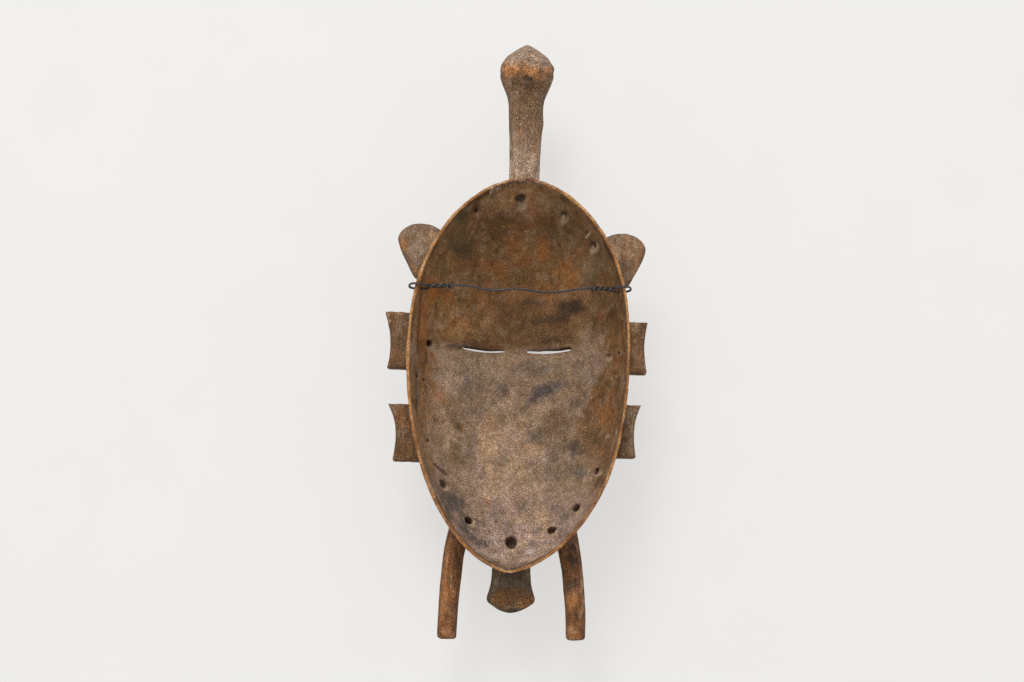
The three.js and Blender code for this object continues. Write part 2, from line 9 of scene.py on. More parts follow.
import bmesh
import bpy
import numpy as np
from bpy.props import FloatProperty, FloatVectorProperty, IntProperty, PointerProperty
from mathutils import Matrix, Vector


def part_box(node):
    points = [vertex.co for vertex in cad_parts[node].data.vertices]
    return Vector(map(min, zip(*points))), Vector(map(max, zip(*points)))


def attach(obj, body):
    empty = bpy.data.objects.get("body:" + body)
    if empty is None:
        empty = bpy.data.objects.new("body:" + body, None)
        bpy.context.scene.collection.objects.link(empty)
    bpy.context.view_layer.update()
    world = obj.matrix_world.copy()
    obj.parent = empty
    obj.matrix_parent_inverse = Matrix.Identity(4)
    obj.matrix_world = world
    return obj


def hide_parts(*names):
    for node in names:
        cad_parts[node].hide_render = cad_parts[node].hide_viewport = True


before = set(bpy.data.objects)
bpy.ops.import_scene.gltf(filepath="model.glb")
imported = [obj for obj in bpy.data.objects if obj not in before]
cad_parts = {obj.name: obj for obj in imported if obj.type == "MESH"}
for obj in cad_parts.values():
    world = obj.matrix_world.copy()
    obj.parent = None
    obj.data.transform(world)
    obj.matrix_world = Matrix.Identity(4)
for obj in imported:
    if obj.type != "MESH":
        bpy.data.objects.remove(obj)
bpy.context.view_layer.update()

bl_info = {
    "name": "Kpelie Face Mask",
    "version": (1, 0, 0),
    "blender": (4, 5, 0),
    "location": "View3D > Sidebar > Mask",
    "description": "Builds a worn wooden face mask with its hanging wire, seen from its hollow side",
    "category": "Object",
}

MASK_LOW, MASK_HIGH = (np.array(corner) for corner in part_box("mask"))
WIRE_LOW, WIRE_HIGH = (np.array(corner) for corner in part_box("hanging_wire"))
MM = 0.001

# The opening and its place, in millimetres
RIM_HEIGHT = MASK_HIGH[2] / MM
HALF_WIDTH = 61.4
CROWN_REACH = 99.3
CHIN_REACH = 120.3
CROWN_POWER, CROWN_ROOT = 2.4, 0.58
CHIN_TAPER, CHIN_TAPER_POWER = 0.19, 6
CHIN_POINT, CHIN_POINT_POWER = 0.25, 40
CHIN_MARGIN = 1.3
RIM_EDGE = 2.2
MIDDLE_X = 1.15
WIDEST_Y = -14.65

# How far the shell's middle line wanders to the side, as (y, x) pairs
WANDER = ((-120, -2.4), (-95, -1), (-65, -0.1), (0, -0.4), (55, 0.4), (99, 0.5))

# Depth of the hollow and of the face along the middle line, as (y, depth) pairs
HOLLOW_DEPTHS = ((-117, 30), (-80, 38), (-30, 43), (7, 45), (60, 44), (97, 38))
FACE_DEPTHS = ((-120, 42), (-95, 47), (-70, 52), (-40, 52), (-10, 52.5), (14, 53.5), (99, 50))
HOLLOW_FULLNESS = (3.2, 0.55)
FACE_FULLNESS = (2.8, 0.5)
CREASE_Y, CREASE_DEPTH, CREASE_SPREAD, CREASE_REACH, CREASE_FADE = 8, 2.5, 9, 36, 3
FOREHEAD_STEP = 8
MUZZLE_Y, MUZZLE_SWELL, MUZZLE_HALF_WIDTH, MUZZLE_HALF_LENGTH = -74, 9, 17, 20

# The corner between the hollow's floor and its right wall, as (y, x) pairs, and how far it is cut in
CORNER = ((-44, 35.0), (-26, 38.7), (-12, 42.4), (0, 49.5))
CORNER_CUT, CORNER_REACH = 0.7, 9

# The face
BROW_TOP, BROW_DROP, BROW_OFFSET, BROW_SOFTNESS = 30, 14, 24, 5
BROW_INNER, BROW_OUTER, BROW_WIDTH, BROW_HEIGHT = 3, 48, 6.4, 6.2
NOSE = np.array([   # y, half width, crest depth
    (-46.0, 4.4, 54.0), (-44.0, 7.0, 60.2), (-39.0, 7.6, 62.6), (-28.0, 5.6, 62.4),
    (-8.0, 3.8, 61.2), (12.0, 3.2, 60.8), (25.0, 3.4, 61.4),
])
NOSE_ROOT = 14
LID_X, LID_Y, LID_LENGTH, LID_HEIGHT, LID_SWELL = 19, 8, 15, 7, 4.4
MOUTH_Y = -74
MOUTH_BASE_DEPTH, MOUTH_BASE, MOUTH_LIP, LIP_ROUND = 46, (17, 12.5), (12.5, 7.6), 2.4
MOUTH_RECESS, MOUTH_RECESS_DEPTH = (8.6, 4.2), 3.6
TEETH_COUNT, TOOTH_PITCH, TOOTH_WIDTH, TOOTH_HEIGHT, TOOTH_BELOW = 5, 3.1, 2.5, 6.4, 1.4
BOSS_FROM, BOSS_TO, BOSS_HALF_WIDTH, BOSS_HEIGHT = 36, 62, 7, 3.2
HAIR_BAND_MIDDLE, HAIR_BAND_DROP, HAIR_BAND_REACH, HAIR_BAND_WIDTH, HAIR_BAND_HEIGHT = 76, 22, 34, 3.4, 2.2
SCAR_COUNT, SCAR_PITCH, SCAR_Y, SCAR_INNER, SCAR_OUTER = 3, 7.5, -17, 27, 41
SCAR_RISE, SCAR_WIDTH, SCAR_HEIGHT = 3.5, 2.6, 1.7

# Eye slits: ends as (x, y) at the hollow's floor, and the height of each
SLITS = (((-30.6, 8.9), (-6.0, 7.7), 1.05), ((6.7, 7.9), (32.4, 10.0), 1.45))
SLIT_SAG, SLIT_DEPTH, SLIT_LIP = 0.9, 46, 1.6
SLIT_SLANT = math.tan(math.radians(11))

# Small holes round the rim: x, y, diameter, reach into the wood
HOLES = (
    (-0.9, 90.8, 5.6, 2.6), (23.8, 82.9, 4.2, 1.5), (40.9, 65.4, 4.2, 1.5), (-25.9, 82.6, 2.4, 3),
    (-49.7, 8.2, 3.8, 6), (-48.6, -48.5, 2.0, 6), (-38.9, -72.0, 4.4, 8), (-24.4, -91.3, 4.2, 8),
    (-0.9, -102.5, 6.4, 5.5), (21.0, -95.6, 4.1, 9), (33.8, -82.9, 4.5, 5), (44.8, -62.4, 3.6, 3),
    (51.3, 2.9, 3.2, 1.2), (-55.9, -13.3, 1.7, 3), (-52.3, -13.9, 1.7, 3), (56.4, 3.3, 1.8, 3),
)
HOLE_START = 3
HOLE_MOUTH = 1.3
HOLE_TILT = 1.7

# Chipped stretch of the back edge and uneven band of the knob: middle and spread
CHIPPED_X, CHIPPED_Y, CHIPPED_WIDE, CHIPPED_HIGH = -16, 93.5, 7, 6
BAND_Y, BAND_SPREAD = 169.3, 2.4

# Unevenness as noises, each with its weight, size and seed: broad and fine waves of the carving, broad and
# fine unevenness of the paint, and how far the painted places are bent sideways and lengthways
BROAD_WAVES = ((1, (17, 26, 17), 11), (0.5, (8, 13, 8), 12))
FINE_WAVES = ((1, (3.2, 7.5, 3.2), 13), (0.6, (1.9, 3.4, 1.9), 14))
PAINT_UNEVEN, PAINT_FINE = ((0.6, 15, 41), (0.6, 6.5, 42)), ((0.7, 3.1, 43), (0.5, 1.7, 44))
PAINT_BENT_X, PAINT_BENT_Y = ((2.4, 8, 45), (1.4, 3.4, 46)), ((2.4, 8, 47), (1.4, 3.4, 48))

# Worn dents as (x, y, radius, depth), and gouges and cracks as (x, y, x, y, half width, depth)
DENTS = (
    (23.4, 81.9, 3.8, 1.0), (40.4, 64.4, 3.8, 1.1), (50.9, 1.9, 3.4, 0.8), (44.2, -63.2, 4.2, 1.1),
    (33.2, -83.4, 4.0, 0.7), (-38.6, -73.2, 4.4, 1.0), (37.8, 72.6, 1.8, 0.5), (-31.7, -53.2, 2.6, 0.25),
    (-24.0, -92.2, 3.4, 0.7), (-0.9, 89.6, 4.6, 0.8), (45.0, 59.0, 2.2, 0.5), (-0.9, -103.0, 4.8, 0.4),
)
GOUGES = (
    (-41.6, -63.1, -37.3, -66.3, 1.5, 1.5), (-44.4, -61.2, -41.5, -63.8, 0.9, 0.8),
    (-44.4, -61.2, -44.8, -65.6, 0.8, 0.6), (-37.1, 6.8, -30.6, 8.4, 1.4, 1.1),
    (-46.5, -55.5, -43.5, -61.5, 0.9, 0.6), (-21.1, -90.5, -18.3, -91.5, 0.8, 0.5),
    (-30.2, -36.7, -29.4, -40.8, 0.9, 0.35), (-3.5, 7.4, 4.0, 7.6, 1.1, 0.7),
)

# Stem and knob: y, radius, flattening to a four-sided cap
STEM_X, STEM_DEPTH, CAP_FLATTENING, STEM_FACETS = 1.1, 18, 0.16, 0.022
STEM = np.array([
    (84, 8.0, 0), (98, 8.6, 0), (107, 8.8, 0), (120, 9.1, 0), (132, 9.5, 0), (143, 9.8, 0),
    (149, 10.2, 0), (153.3, 11.2, 0), (157.1, 12.7, 0), (162, 14.6, 0), (165.5, 15.7, 0),
    (168.0, 15.5, 0), (169.6, 16.0, 0), (171.2, 15.6, 0.1), (174, 13.9, 0.4), (176.4, 12.5, 0.8),
    (180.6, 7.6, 1), (184.2, 2.2, 1), (184.95, 0.6, 1),
])

# Horn lobes, side wings, legs and chin tab
LOBE = np.array([
    (-48, 47), (-57.8, 42.3), (-63.4, 50.5), (-68.4, 60.8), (-69.6, 66.4), (-66.6, 71.2), (-59.6, 74.3),
    (-52.2, 73.8), (-46.7, 71.6), (-38, 66),
])
LOBE_SIDES = ((-1, 0, 0), (1, 1.5, -1.5))   # side, shift outwards, shift up
LOBE_DEPTH, LOBE_THICKNESS = 18, 11
WINGS = (   # side, upper edge, lower edge, reach at the top, waist and bottom
    (-1, 21.9, -9.9, (74.55, 71.05, 72.75)), (1, 21.0, -8.3, (72.25, 70.4, 71.7)),
    (-1, -29.5, -60.9, (70.95, 66.3, 67.6)), (1, -26.1, -55.6, (68.6, 65.2, 66.4)),
)
WING_DEPTH, WING_THICKNESS = 15, 9
LEGS = (   # centre line as x, y, depth, radius
    ((-25.2, -78, 26, 5.9), (-30.7, -102, 26, 5.8), (-32.8, -118, 25, 5.7), (-33.7, -131, 25, 5.6),
     (-34.2, -144, 25, 5.5), (-34.4, -155.5, 25, 5.3)),
    ((25.2, -78, 26, 6.2), (30.8, -104, 26, 6.2), (33.1, -117, 25, 5.9), (34.4, -129, 25, 5.7),
     (35.4, -142, 25, 5.4), (35.7, -154.4, 25, 5.1)),
)
FOOT_ROUND = 1.6
TAB = np.array([
    (10.7, -95), (10.7, -108), (10.7, -121), (11.6, -127.5), (13.0, -131.8), (13.4, -133.4), (12.6, -135.3),
    (9.6, -137.4), (5.4, -139.6), (0, -140.6),
])
TAB_X, TAB_DEPTH, TAB_THICKNESS = -0.3, 25, 12

# Hanging wire, as x, y, depth along its span, and its two ends
WIRE_SPAN = np.array([
    (-50.5, 35.2, 2.2), (-44, 35.2, 1.4), (-37.6, 36.0, 1.0), (-28.2, 35.5, 0.8), (-17.1, 33.6, 0.8),
    (-8.9, 34.1, 0.8), (-3.4, 35.0, 0.8), (4.9, 34.3, 0.8), (13.3, 33.5, 0.8), (21.5, 34.1, 0.8),
    (27.1, 35.1, 0.8), (32.6, 36.2, 0.9), (38.1, 37.0, 1.2), (44, 37.0, 1.6), (51.6, 36.9, 2.2),
])
# side, y, depth of the hole, reach outside, start and end of the twist, turns
WIRE_ENDS = ((-1, 34.8, 8, 62.0, 52.2, 38.5, 1.5), (1, 37.2, 8, 61.5, 52.6, 39.5, 2.0))
TWIST_LEAD, TWIST_RADIUS, TWIST_OPENING, WIRE_HOLE_RADIUS = 1.5, 0.72, 1.1, 1.6

# Bends of a wire end, from the span over the rim and back through its hole: the line that each is counted
# from and how far outwards it lies, how far up, and the level that it is counted from and how far down
WIRE_INSIDE = 5.2
WIRE_BENDS = (
    ("inside", -0.5, 0.4, "edge", 0.4), ("rim", -2.2, 0.6, "edge", -1.1),
    ("rim", 1.2, 0.7, "edge", -0.8), ("outermost", -0.7, 0.5, "edge", 1.6),
    ("outermost", -0.4, 0.1, "hole", -3.4), ("rim", 1.6, 0, "hole", -0.2), ("rim", -2, 0, "hole", 0),
    ("inside", -0.6, 0, "hole", -0.6), ("inside", -2.0, -0.4, "hole", -3.4),
)

# Tones of single places, beside the colours that a user can change
WING_TONE, LEG_TONE, TAB_TONE = (0.155, 0.084, 0.041), (0.215, 0.088, 0.034), (0.115, 0.078, 0.046)
STEM_TONE, STEM_FOOT_TONE, CAP_TONE = (0.185, 0.108, 0.057), (0.365, 0.245, 0.160), (0.270, 0.185, 0.128)
# Holes are darkened inside as painted shade; their pale lower lips are partly rubbed wood and partly painted
# light
HOLE_SHADE_TONE, RUBBED_LIT_LIP_TONE, CREST_TONE = (0.135, 0.070, 0.052), (0.40, 0.28, 0.17), (0.34, 0.195, 0.10)
RIDGE_TONE, BARE_TONE, RIM_SHADE_TONE = (0.30, 0.17, 0.085), (0.27, 0.115, 0.042), (0.170, 0.074, 0.036)
SMEAR_TONE, WIRE_RUST = (0.060, 0.050, 0.049), (0.085, 0.045, 0.028)

# How strongly worn ridges, grime, the bare rim, its shade, pits and dust cover the wood
RIDGE_AMOUNT, DIRT_AMOUNT, PIT_AMOUNT, DUST_AMOUNT = 0.55, 0.65, 0.35, 0.45
RIM_AMOUNT, RIM_SHADE_AMOUNT = 0.92, 0.8

# Tints that the wood's colour is multiplied by
FLAKE_TINT, RUB_TINT = (0.45, 0.42, 0.40), (1.45, 1.38, 1.28)
COOL_TINT, WARM_TINT = (0.96, 1.0, 1.06), (1.05, 0.99, 0.91)

# Shares of the fine light and dark in red, green and blue: pale grains are greyer and dark ones redder
GREY_LIGHT = (0.84, 1.0, 1.24)

# Studio: half the floor's side, the main light's place, aim and side in metres, and the tints of the lights
FLOOR_HALF = 8.0
KEY_PLACE, KEY_AIM, KEY_SIDE = (-0.9, 2.2, 2.6), (0, 0, 0.03), 1.6
KEY_TINT, SKY_TINT, GLOW_TINT = (1.0, 0.98, 0.95), (0.96, 0.98, 1.0), (1.0, 0.985, 0.96)

# Spacing of the blocks' sections, how far the hollow's cutter stands over the rim, and the sharp angle
SECTION_GAP, HOLLOW_RISE, SHARP_ANGLE = 1.6, 5.0, math.radians(55)

# Camera, fitted to the photograph
LENS, SENSOR = 50, 36
PHOTO_WIDTH, PHOTO_HEIGHT = 1024, 682
AIM_PIXEL = (518.0, 374.75)
AIM_X, AIM_Y = -0.55, -13.3
CAMERA_DISTANCE = 775
LEAN, YAW, ROLL = math.radians(11), math.radians(2.5), math.radians(1.5)


def tone_setting(name, description, value):
    """A colour that a user can change."""
    return FloatVectorProperty(name=name, description=description, subtype="COLOR", default=value, size=3)


def length_setting(name, description, value, low=0):
    """A length that a user can change, given in millimetres."""
    return FloatProperty(name=name, description=description, default=value * MM, min=low * MM, unit="LENGTH")


class MaskSizes(bpy.types.PropertyGroup):
    """Sizes of the carved surface that a user would change."""

    voxel: length_setting("Mesh Size", "Length of a face on the finished carving", 0.85, 0.6)
    faces: IntProperty(name="Faces", description="Triangles that the carving is brought down to",
                       default=178000, min=20000)
    waviness: length_setting("Waviness", "Depth of the broad unevenness left by the carver", 0.30)
    tool_marks: length_setting("Tool Marks", "Depth of the small blade marks", 0.16)
    rim_chips: length_setting("Rim Chips", "Depth of the chips in the back edge", 1.0)


class WoodColours(bpy.types.PropertyGroup):
    """Colours of the aged wood."""

    smoke: tone_setting("Smoke", "Smoked brown of the outside", (0.125, 0.066, 0.030))
    tan: tone_setting("Tan", "Dusty tan of the lobes and the stem", (0.200, 0.127, 0.076))
    # Crown: partly the wood's own darker brown and partly painted shade of the upper hollow, which faces away
    # from the light
    crown: tone_setting("Crown", "Brown of the upper hollow and the side walls", (0.185, 0.099, 0.043))
    wall: tone_setting("Wall Wood", "Warm brown of the hollow's side walls", (0.212, 0.116, 0.055))
    floor: tone_setting("Floor Wood", "Grey brown of the lower hollow", (0.240, 0.157, 0.095))
    sand: tone_setting("Sand", "Pale rubbed wood in the middle of the hollow", (0.420, 0.265, 0.150))
    ash: tone_setting("Ash", "Greyish dusty wood", (0.262, 0.186, 0.120))
    mauve: tone_setting("Mauve", "Pinkish brown near the chin", (0.300, 0.196, 0.148))
    slate: tone_setting("Slate", "Bluish dark stains", (0.092, 0.072, 0.061))
    soot: tone_setting("Soot", "Near black grime and smears", (0.035, 0.026, 0.020))
    umber: tone_setting("Umber", "Dark brown of the deep shade stains", (0.082, 0.039, 0.015))
    olive: tone_setting("Olive", "Greenish dark brown near the crown", (0.100, 0.069, 0.031))
    rust: tone_setting("Rust", "Orange red wood that shows through", (0.225, 0.088, 0.024))
    ember: tone_setting("Ember", "Brighter orange tan of the knob and the legs", (0.330, 0.140, 0.050))
    chalk: tone_setting("Chalk", "Pale dust and flecks", (0.500, 0.400, 0.310))
    amber: tone_setting("Amber", "Bare orange tan of the rubbed back edge", (0.470, 0.230, 0.085))


class WireSettings(bpy.types.PropertyGroup):
    """Size and colour of the hanging wire."""

    radius: length_setting("Wire Radius", "Half the thickness of the wire", 0.62, 0.1)
    colour: tone_setting("Wire Colour", "Dark dull steel", (0.054, 0.053, 0.052))


class StageSettings(bpy.types.PropertyGroup):
    """Floor and light of the studio."""

    floor: tone_setting("Floor", "Pale floor", (0.215, 0.211, 0.204))
    glow: FloatProperty(name="Floor Glow", description="Even light that the floor gives back",
                        default=0.59, min=0)
    key: FloatProperty(name="Key Light", description="Power of the main soft light", default=85, unit="POWER")
    sky: FloatProperty(name="Sky", description="Strength of the even light from all round",
                       default=0.85, min=0)


def fold(edge_low, edge_high, value):
    """Smooth step: 0 below the low edge, 1 above the high edge, 3t^2 - 2t^3 between them."""
    t = np.clip((value - edge_low) / (edge_high - edge_low), 0, 1)
    return t * t * (3 - 2 * t)


def along(pairs, here):
    """Cubic curve through (place, value) pairs: Hermite pieces whose slopes come from the neighbours."""
    places, values = np.array(pairs, float).T
    slopes = np.empty_like(values)
    slopes[1:-1] = (values[2:] - values[:-2]) / (places[2:] - places[:-2])
    slopes[0] = (values[1] - values[0]) / (places[1] - places[0])
    slopes[-1] = (values[-1] - values[-2]) / (places[-1] - places[-2])
    here = np.clip(here, places[0], places[-1])
    i = np.clip(np.searchsorted(places, here) - 1, 0, len(places) - 2)
    step = places[i + 1] - places[i]
    t = (here - places[i]) / step
    start = 2 * t**3 - 3 * t**2 + 1
    pull = (t**3 - 2 * t**2 + t) * step * slopes[i] + (t**3 - t**2) * step * slopes[i + 1]
    return start * values[i] + (1 - start) * values[i + 1] + pull


def lattice(cell, seed):
    """A repeatable number from 0 to 1 for each whole-number cell, from mixed integer products."""
    cell = cell.astype(np.int64)
    mixed = cell[..., 0] * 73856093 ^ cell[..., 1] * 19349663 ^ cell[..., 2] * 83492791 ^ seed * 2654435761
    mixed = (mixed ^ (mixed >> 13)) * 1274126177 & 0xFFFFFFFF
    mixed = (mixed ^ (mixed >> 16)) & 0xFFFFFF
    return mixed / 0xFFFFFF


def noise(points, size, seed):
    """Smooth value noise from -1 to 1: random numbers at the corners of cells, blended by smooth steps."""
    scaled = points / np.asarray(size, float)
    base = np.floor(scaled)
    part = scaled - base
    part = part * part * (3 - 2 * part)
    total = np.zeros(points.shape[:-1])
    for corner in np.ndindex(2, 2, 2):
        corner = np.array(corner)
        weight = np.prod(np.where(corner, part, 1 - part), axis=-1)
        total += weight * lattice(base + corner, seed)
    return 2 * total - 1


def layered(points, layers):
    """Sum of noises, each with its weight, size and seed."""
    return sum(weight * noise(points, size, seed) for weight, size, seed in layers)


def wander(y):
    """How far the shell's middle line lies to the side at y."""
    return along(WANDER, y)


def share(y, margin):
    """How far y lies towards the end of the opening: 0 at the widest line and 1 at the tip."""
    return np.where(y > 0, y / (CROWN_REACH - margin), -y / (CHIN_REACH - CHIN_MARGIN * margin))


def half_width(y, margin=0.0):
    """Half width of the opening at y: a full-shouldered oval above, an ellipse drawn in to the chin below."""
    t = np.minimum(share(y, margin), 1)
    crown = (1 - t**CROWN_POWER) ** CROWN_ROOT
    chin = np.sqrt(1 - t * t) * (1 - CHIN_TAPER * t**CHIN_TAPER_POWER - CHIN_POINT * t**CHIN_POINT_POWER)
    return (HALF_WIDTH - margin) * np.where(y > 0, crown, chin)


def fall(part, fullness):
    """1 in the middle, falling to 0 at the edge as (1 - t^power)^root."""
    power, root = fullness
    return (1 - np.minimum(np.abs(part), 1) ** power) ** root


def hollow_depth(x, y):
    """Depth of the hollow's floor: a bowl that falls off to the outline, with a crease across the eyes."""
    half = np.maximum(half_width(y, RIM_EDGE), 1e-6)
    fade = 1 + np.exp((np.abs(x) - CREASE_REACH) / CREASE_FADE)
    crease = CREASE_DEPTH * np.exp(-np.abs(y - CREASE_Y) / CREASE_SPREAD) / fade
    middle = (along(HOLLOW_DEPTHS, y) + crease) * fall(share(y, RIM_EDGE), HOLLOW_FULLNESS)
    depth = middle * fall(x / half, HOLLOW_FULLNESS)
    near = np.maximum(1 - np.abs(x - along(CORNER, y)) / CORNER_REACH, 0)
    return depth + CORNER_CUT * near * fold(-62, -44, y) * fold(6, -4, y)


def brow_line(x):
    """Height of the brow: a parabola over each eye that drops to the nose and the temple."""
    return BROW_TOP - BROW_DROP * ((np.abs(x) - BROW_OFFSET) / BROW_OFFSET) ** 2


def face_depth(x, y):
    """Depth of the outer face: a bowl, plus the forehead's step over the brow line and the muzzle's swell."""
    half = np.maximum(half_width(y), 1e-6)
    forehead = FOREHEAD_STEP * fold(brow_line(x) - 2 * BROW_SOFTNESS, brow_line(x), y)
    muzzle = MUZZLE_SWELL * np.exp(-(x / MUZZLE_HALF_WIDTH) ** 2 - ((y - MUZZLE_Y) / MUZZLE_HALF_LENGTH) ** 2)
    middle = (along(FACE_DEPTHS, y) + forehead + muzzle) * fall(share(y, 0), FACE_FULLNESS)
    return middle * fall(x / half, FACE_FULLNESS)


def place(x, y, depth):
    """Points of the mask's own frame, in millimetres, as points of the scene, in metres."""
    x, y, depth = np.broadcast_arrays(x, y, depth)
    return np.stack([x + MIDDLE_X, y + WIDEST_Y, RIM_HEIGHT - depth], axis=-1) * MM


def on_shell(x, y, depth):
    """Points of the shell, x counted from its wandering middle line."""
    return place(x + wander(y), y, depth)


def own_frame(points):
    """The reverse of place: x, y and depth in millimetres for points of the scene."""
    return points[..., 0] / MM - MIDDLE_X, points[..., 1] / MM - WIDEST_Y, RIM_HEIGHT - points[..., 2] / MM


def loft(rings):
    """A closed form through rings of points, with a fan of triangles to the middle of each end ring."""
    rows, columns = rings.shape[:2]
    points = np.concatenate([rings.reshape(-1, 3), rings[[0, -1]].mean(axis=1)])
    i, j = np.meshgrid(np.arange(rows - 1), np.arange(columns), indexing="ij")
    k = (j + 1) % columns
    quads = np.stack([i * columns + j, i * columns + k, (i + 1) * columns + k, (i + 1) * columns + j], -1)
    j, k = j[0], k[0]
    far = (rows - 1) * columns
    start = np.stack([k, j, np.full(columns, rows * columns)], -1)
    end = np.stack([far + j, far + k, np.full(columns, rows * columns + 1)], -1)
    return points, [*quads.reshape(-1, 4).tolist(), *start.tolist(), *end.tolist()]


def add_object(name, data, axes=None, position=(0, 0, 0)):
    """A linked object for some data, turned to three axes and put in its place where they are given."""
    made = bpy.data.objects.new(name, data)
    if axes is not None:
        turn = np.eye(4)
        turn[:3, :3], turn[:3, 3] = np.array(axes).T, position
        made.matrix_world = Matrix(turn.tolist())
    bpy.context.scene.collection.objects.link(made)
    return made


def mesh_from(name, form):
    """A mesh object from one closed form, with its faces turned outwards."""
    points, faces = form
    mesh = bpy.data.meshes.new(name)
    mesh.from_pydata(points, [], faces)
    shape = bmesh.new()
    shape.from_mesh(mesh)
    bmesh.ops.recalc_face_normals(shape, faces=shape.faces)
    shape.to_mesh(mesh)
    shape.free()
    return add_object(name, mesh)


def apply_modifier(piece, kind, **settings):
    """Adds one modifier, keeps its result as the piece's mesh and takes it off again."""
    modifier = piece.modifiers.new(kind.title(), kind)
    for name, value in settings.items():
        setattr(modifier, name, value)
    graph = bpy.context.evaluated_depsgraph_get()
    made = bpy.data.meshes.new_from_object(piece.evaluated_get(graph))
    piece.modifiers.clear()
    old, piece.data = piece.data, made
    bpy.data.meshes.remove(old)
    made.name = piece.name


def combine(piece, form, operation):
    """Joins or cuts the piece with another closed form."""
    other = mesh_from("other", form)
    apply_modifier(piece, "BOOLEAN", operation=operation, object=other, solver="MANIFOLD")
    mesh = other.data
    bpy.data.objects.remove(other)
    bpy.data.meshes.remove(mesh)


def coordinates(mesh, name="co"):
    """The mesh's vertices, or their normals, as an array."""
    values = np.empty(3 * len(mesh.vertices), np.float32)
    mesh.vertices.foreach_get(name, values)
    return values.reshape(-1, 3).astype(float)


def move_points(mesh, points):
    """Puts new places into the mesh's vertices."""
    mesh.vertices.foreach_set("co", points.astype(np.float32).ravel())
    mesh.update()


def store(mesh, name, kind, field, values):
    """Stores one number or colour for each vertex."""
    layer = mesh.attributes.new(name, kind, "POINT")
    layer.data.foreach_set(field, values.astype(np.float32).ravel())


def section_rows(margin, gap):
    """Heights of the cross sections: evenly spaced, and closer towards the two tips."""
    turn = np.linspace(-math.pi / 2 + 0.02, math.pi / 2 - 0.02, round(260 / gap))
    level = 0.55 * np.sin(turn) + 0.45 * turn / turn[-1] * math.cos(0.02)
    return np.where(level > 0, level * (CROWN_REACH - margin), level * (CHIN_REACH - CHIN_MARGIN * margin))


def bowl(depth_at, margin, gap, rise):
    """A bowl-shaped block: sections at constant y, flat on top and following a depth function below."""
    y = section_rows(margin, gap)[:, None]
    half = half_width(y, margin)
    turn = np.linspace(0, math.pi, round(190 / gap))[None, :]
    x = half * np.cos(turn)
    under = on_shell(x, y, depth_at(x, y))
    flat = np.linspace(-1, 1, round(60 / gap))[None, 1:-1]
    top = on_shell(half * flat, y, -rise)
    corners = [on_shell(side * half, y, -rise) for side in (-1, 1)]
    return loft(np.concatenate([under, corners[0], top, corners[1]], axis=1))


def tapered(t, full, ends):
    """A width or height that grows from its value at the ends to its full value in the middle."""
    return ends + (full - ends) * np.sqrt(np.sin(math.pi * np.clip(t, 0, 1)))


def ridge(x, y, wide, high, sides=10, sink=2.0):
    """A raised ridge on the face along a plan curve: half an ellipse across it, set into the face."""
    across = np.stack([-np.gradient(y), np.gradient(x)], -1)
    across /= np.linalg.norm(across, axis=-1, keepdims=True)
    turn = np.linspace(0, math.pi, sides)
    side = np.concatenate([np.cos(turn), [-1, 1]])
    lift = np.concatenate([np.sin(turn), [0, 0]])
    drop = np.concatenate([np.zeros(sides), [sink, sink]])
    px = x[:, None] + across[:, :1] * wide[:, None] * side
    py = y[:, None] + across[:, 1:] * wide[:, None] * side
    return loft(on_shell(px, py, face_depth(px, py) + lift * high[:, None] - drop))


def brows():
    """Two arched brows that follow the brow line."""
    t = np.linspace(0, 1, 60)
    x = BROW_INNER + (BROW_OUTER - BROW_INNER) * t
    wide, high = tapered(t, BROW_WIDTH / 2, 1.4), tapered(t, BROW_HEIGHT, 1.6)
    return [ridge(side * x, brow_line(x), wide, high, 12) for side in (-1, 1)]


def scars():
    """Short slanting raised scars, three on each cheek."""
    t = np.linspace(0, 1, 16)
    x = SCAR_INNER + (SCAR_OUTER - SCAR_INNER) * t
    wide, high = tapered(t, SCAR_WIDTH / 2, 0.5), tapered(t, SCAR_HEIGHT, 0.3)
    rows = [SCAR_Y - number * SCAR_PITCH + SCAR_RISE * t for number in range(SCAR_COUNT)]
    return [ridge(side * x, y, wide, high, 8) for side in (-1, 1) for y in rows]


def hair_band():
    """A low band across the top of the forehead, bent as a parabola."""
    t = np.linspace(0, 1, 70)
    x = HAIR_BAND_REACH * (2 * t - 1)
    y = HAIR_BAND_MIDDLE - HAIR_BAND_DROP * (x / HAIR_BAND_REACH) ** 2
    return ridge(x, y, tapered(t, HAIR_BAND_WIDTH / 2, 0.8), tapered(t, HAIR_BAND_HEIGHT, 0.4), 8)


def forehead_boss():
    """A low diamond on the forehead: a ridge whose half width grows and shrinks in straight lines."""
    t = np.linspace(0, 1, 31)
    wide = 0.6 + (BOSS_HALF_WIDTH - 0.6) * (1 - np.abs(2 * t - 1))
    return ridge(0 * t, BOSS_FROM + (BOSS_TO - BOSS_FROM) * t, wide, np.full(31, BOSS_HEIGHT), 12)


def nose():
    """A long thin nose: rounded crest sections set on a root sunk in the face."""
    y = np.linspace(NOSE[0, 0], NOSE[-1, 0], 64)
    wide, crest = along(NOSE[:, :2], y), along(NOSE[:, ::2], y)
    turn = np.linspace(0, math.pi, 13)
    side = np.concatenate([np.sign(np.cos(turn)) * np.abs(np.cos(turn)) ** 0.8, [-1, 1]])
    drop = np.concatenate([5.5 * (1 - np.sin(turn) ** 0.9), [NOSE_ROOT, NOSE_ROOT]])
    return loft(place(wide[:, None] * side, y[:, None], crest[:, None] - drop))


def ball(centre, radii, rings=24, sides=40):
    """An ellipsoid with its poles up and down."""
    up = np.linspace(-math.pi / 2 + 0.02, math.pi / 2 - 0.02, rings)[:, None]
    turn = np.linspace(0, 2 * math.pi, sides + 1)[None, :-1]
    return loft(place(centre[0] + radii[0] * np.cos(up) * np.cos(turn),
                      centre[1] + radii[1] * np.cos(up) * np.sin(turn),
                      centre[2] - radii[2] * np.sin(up)))


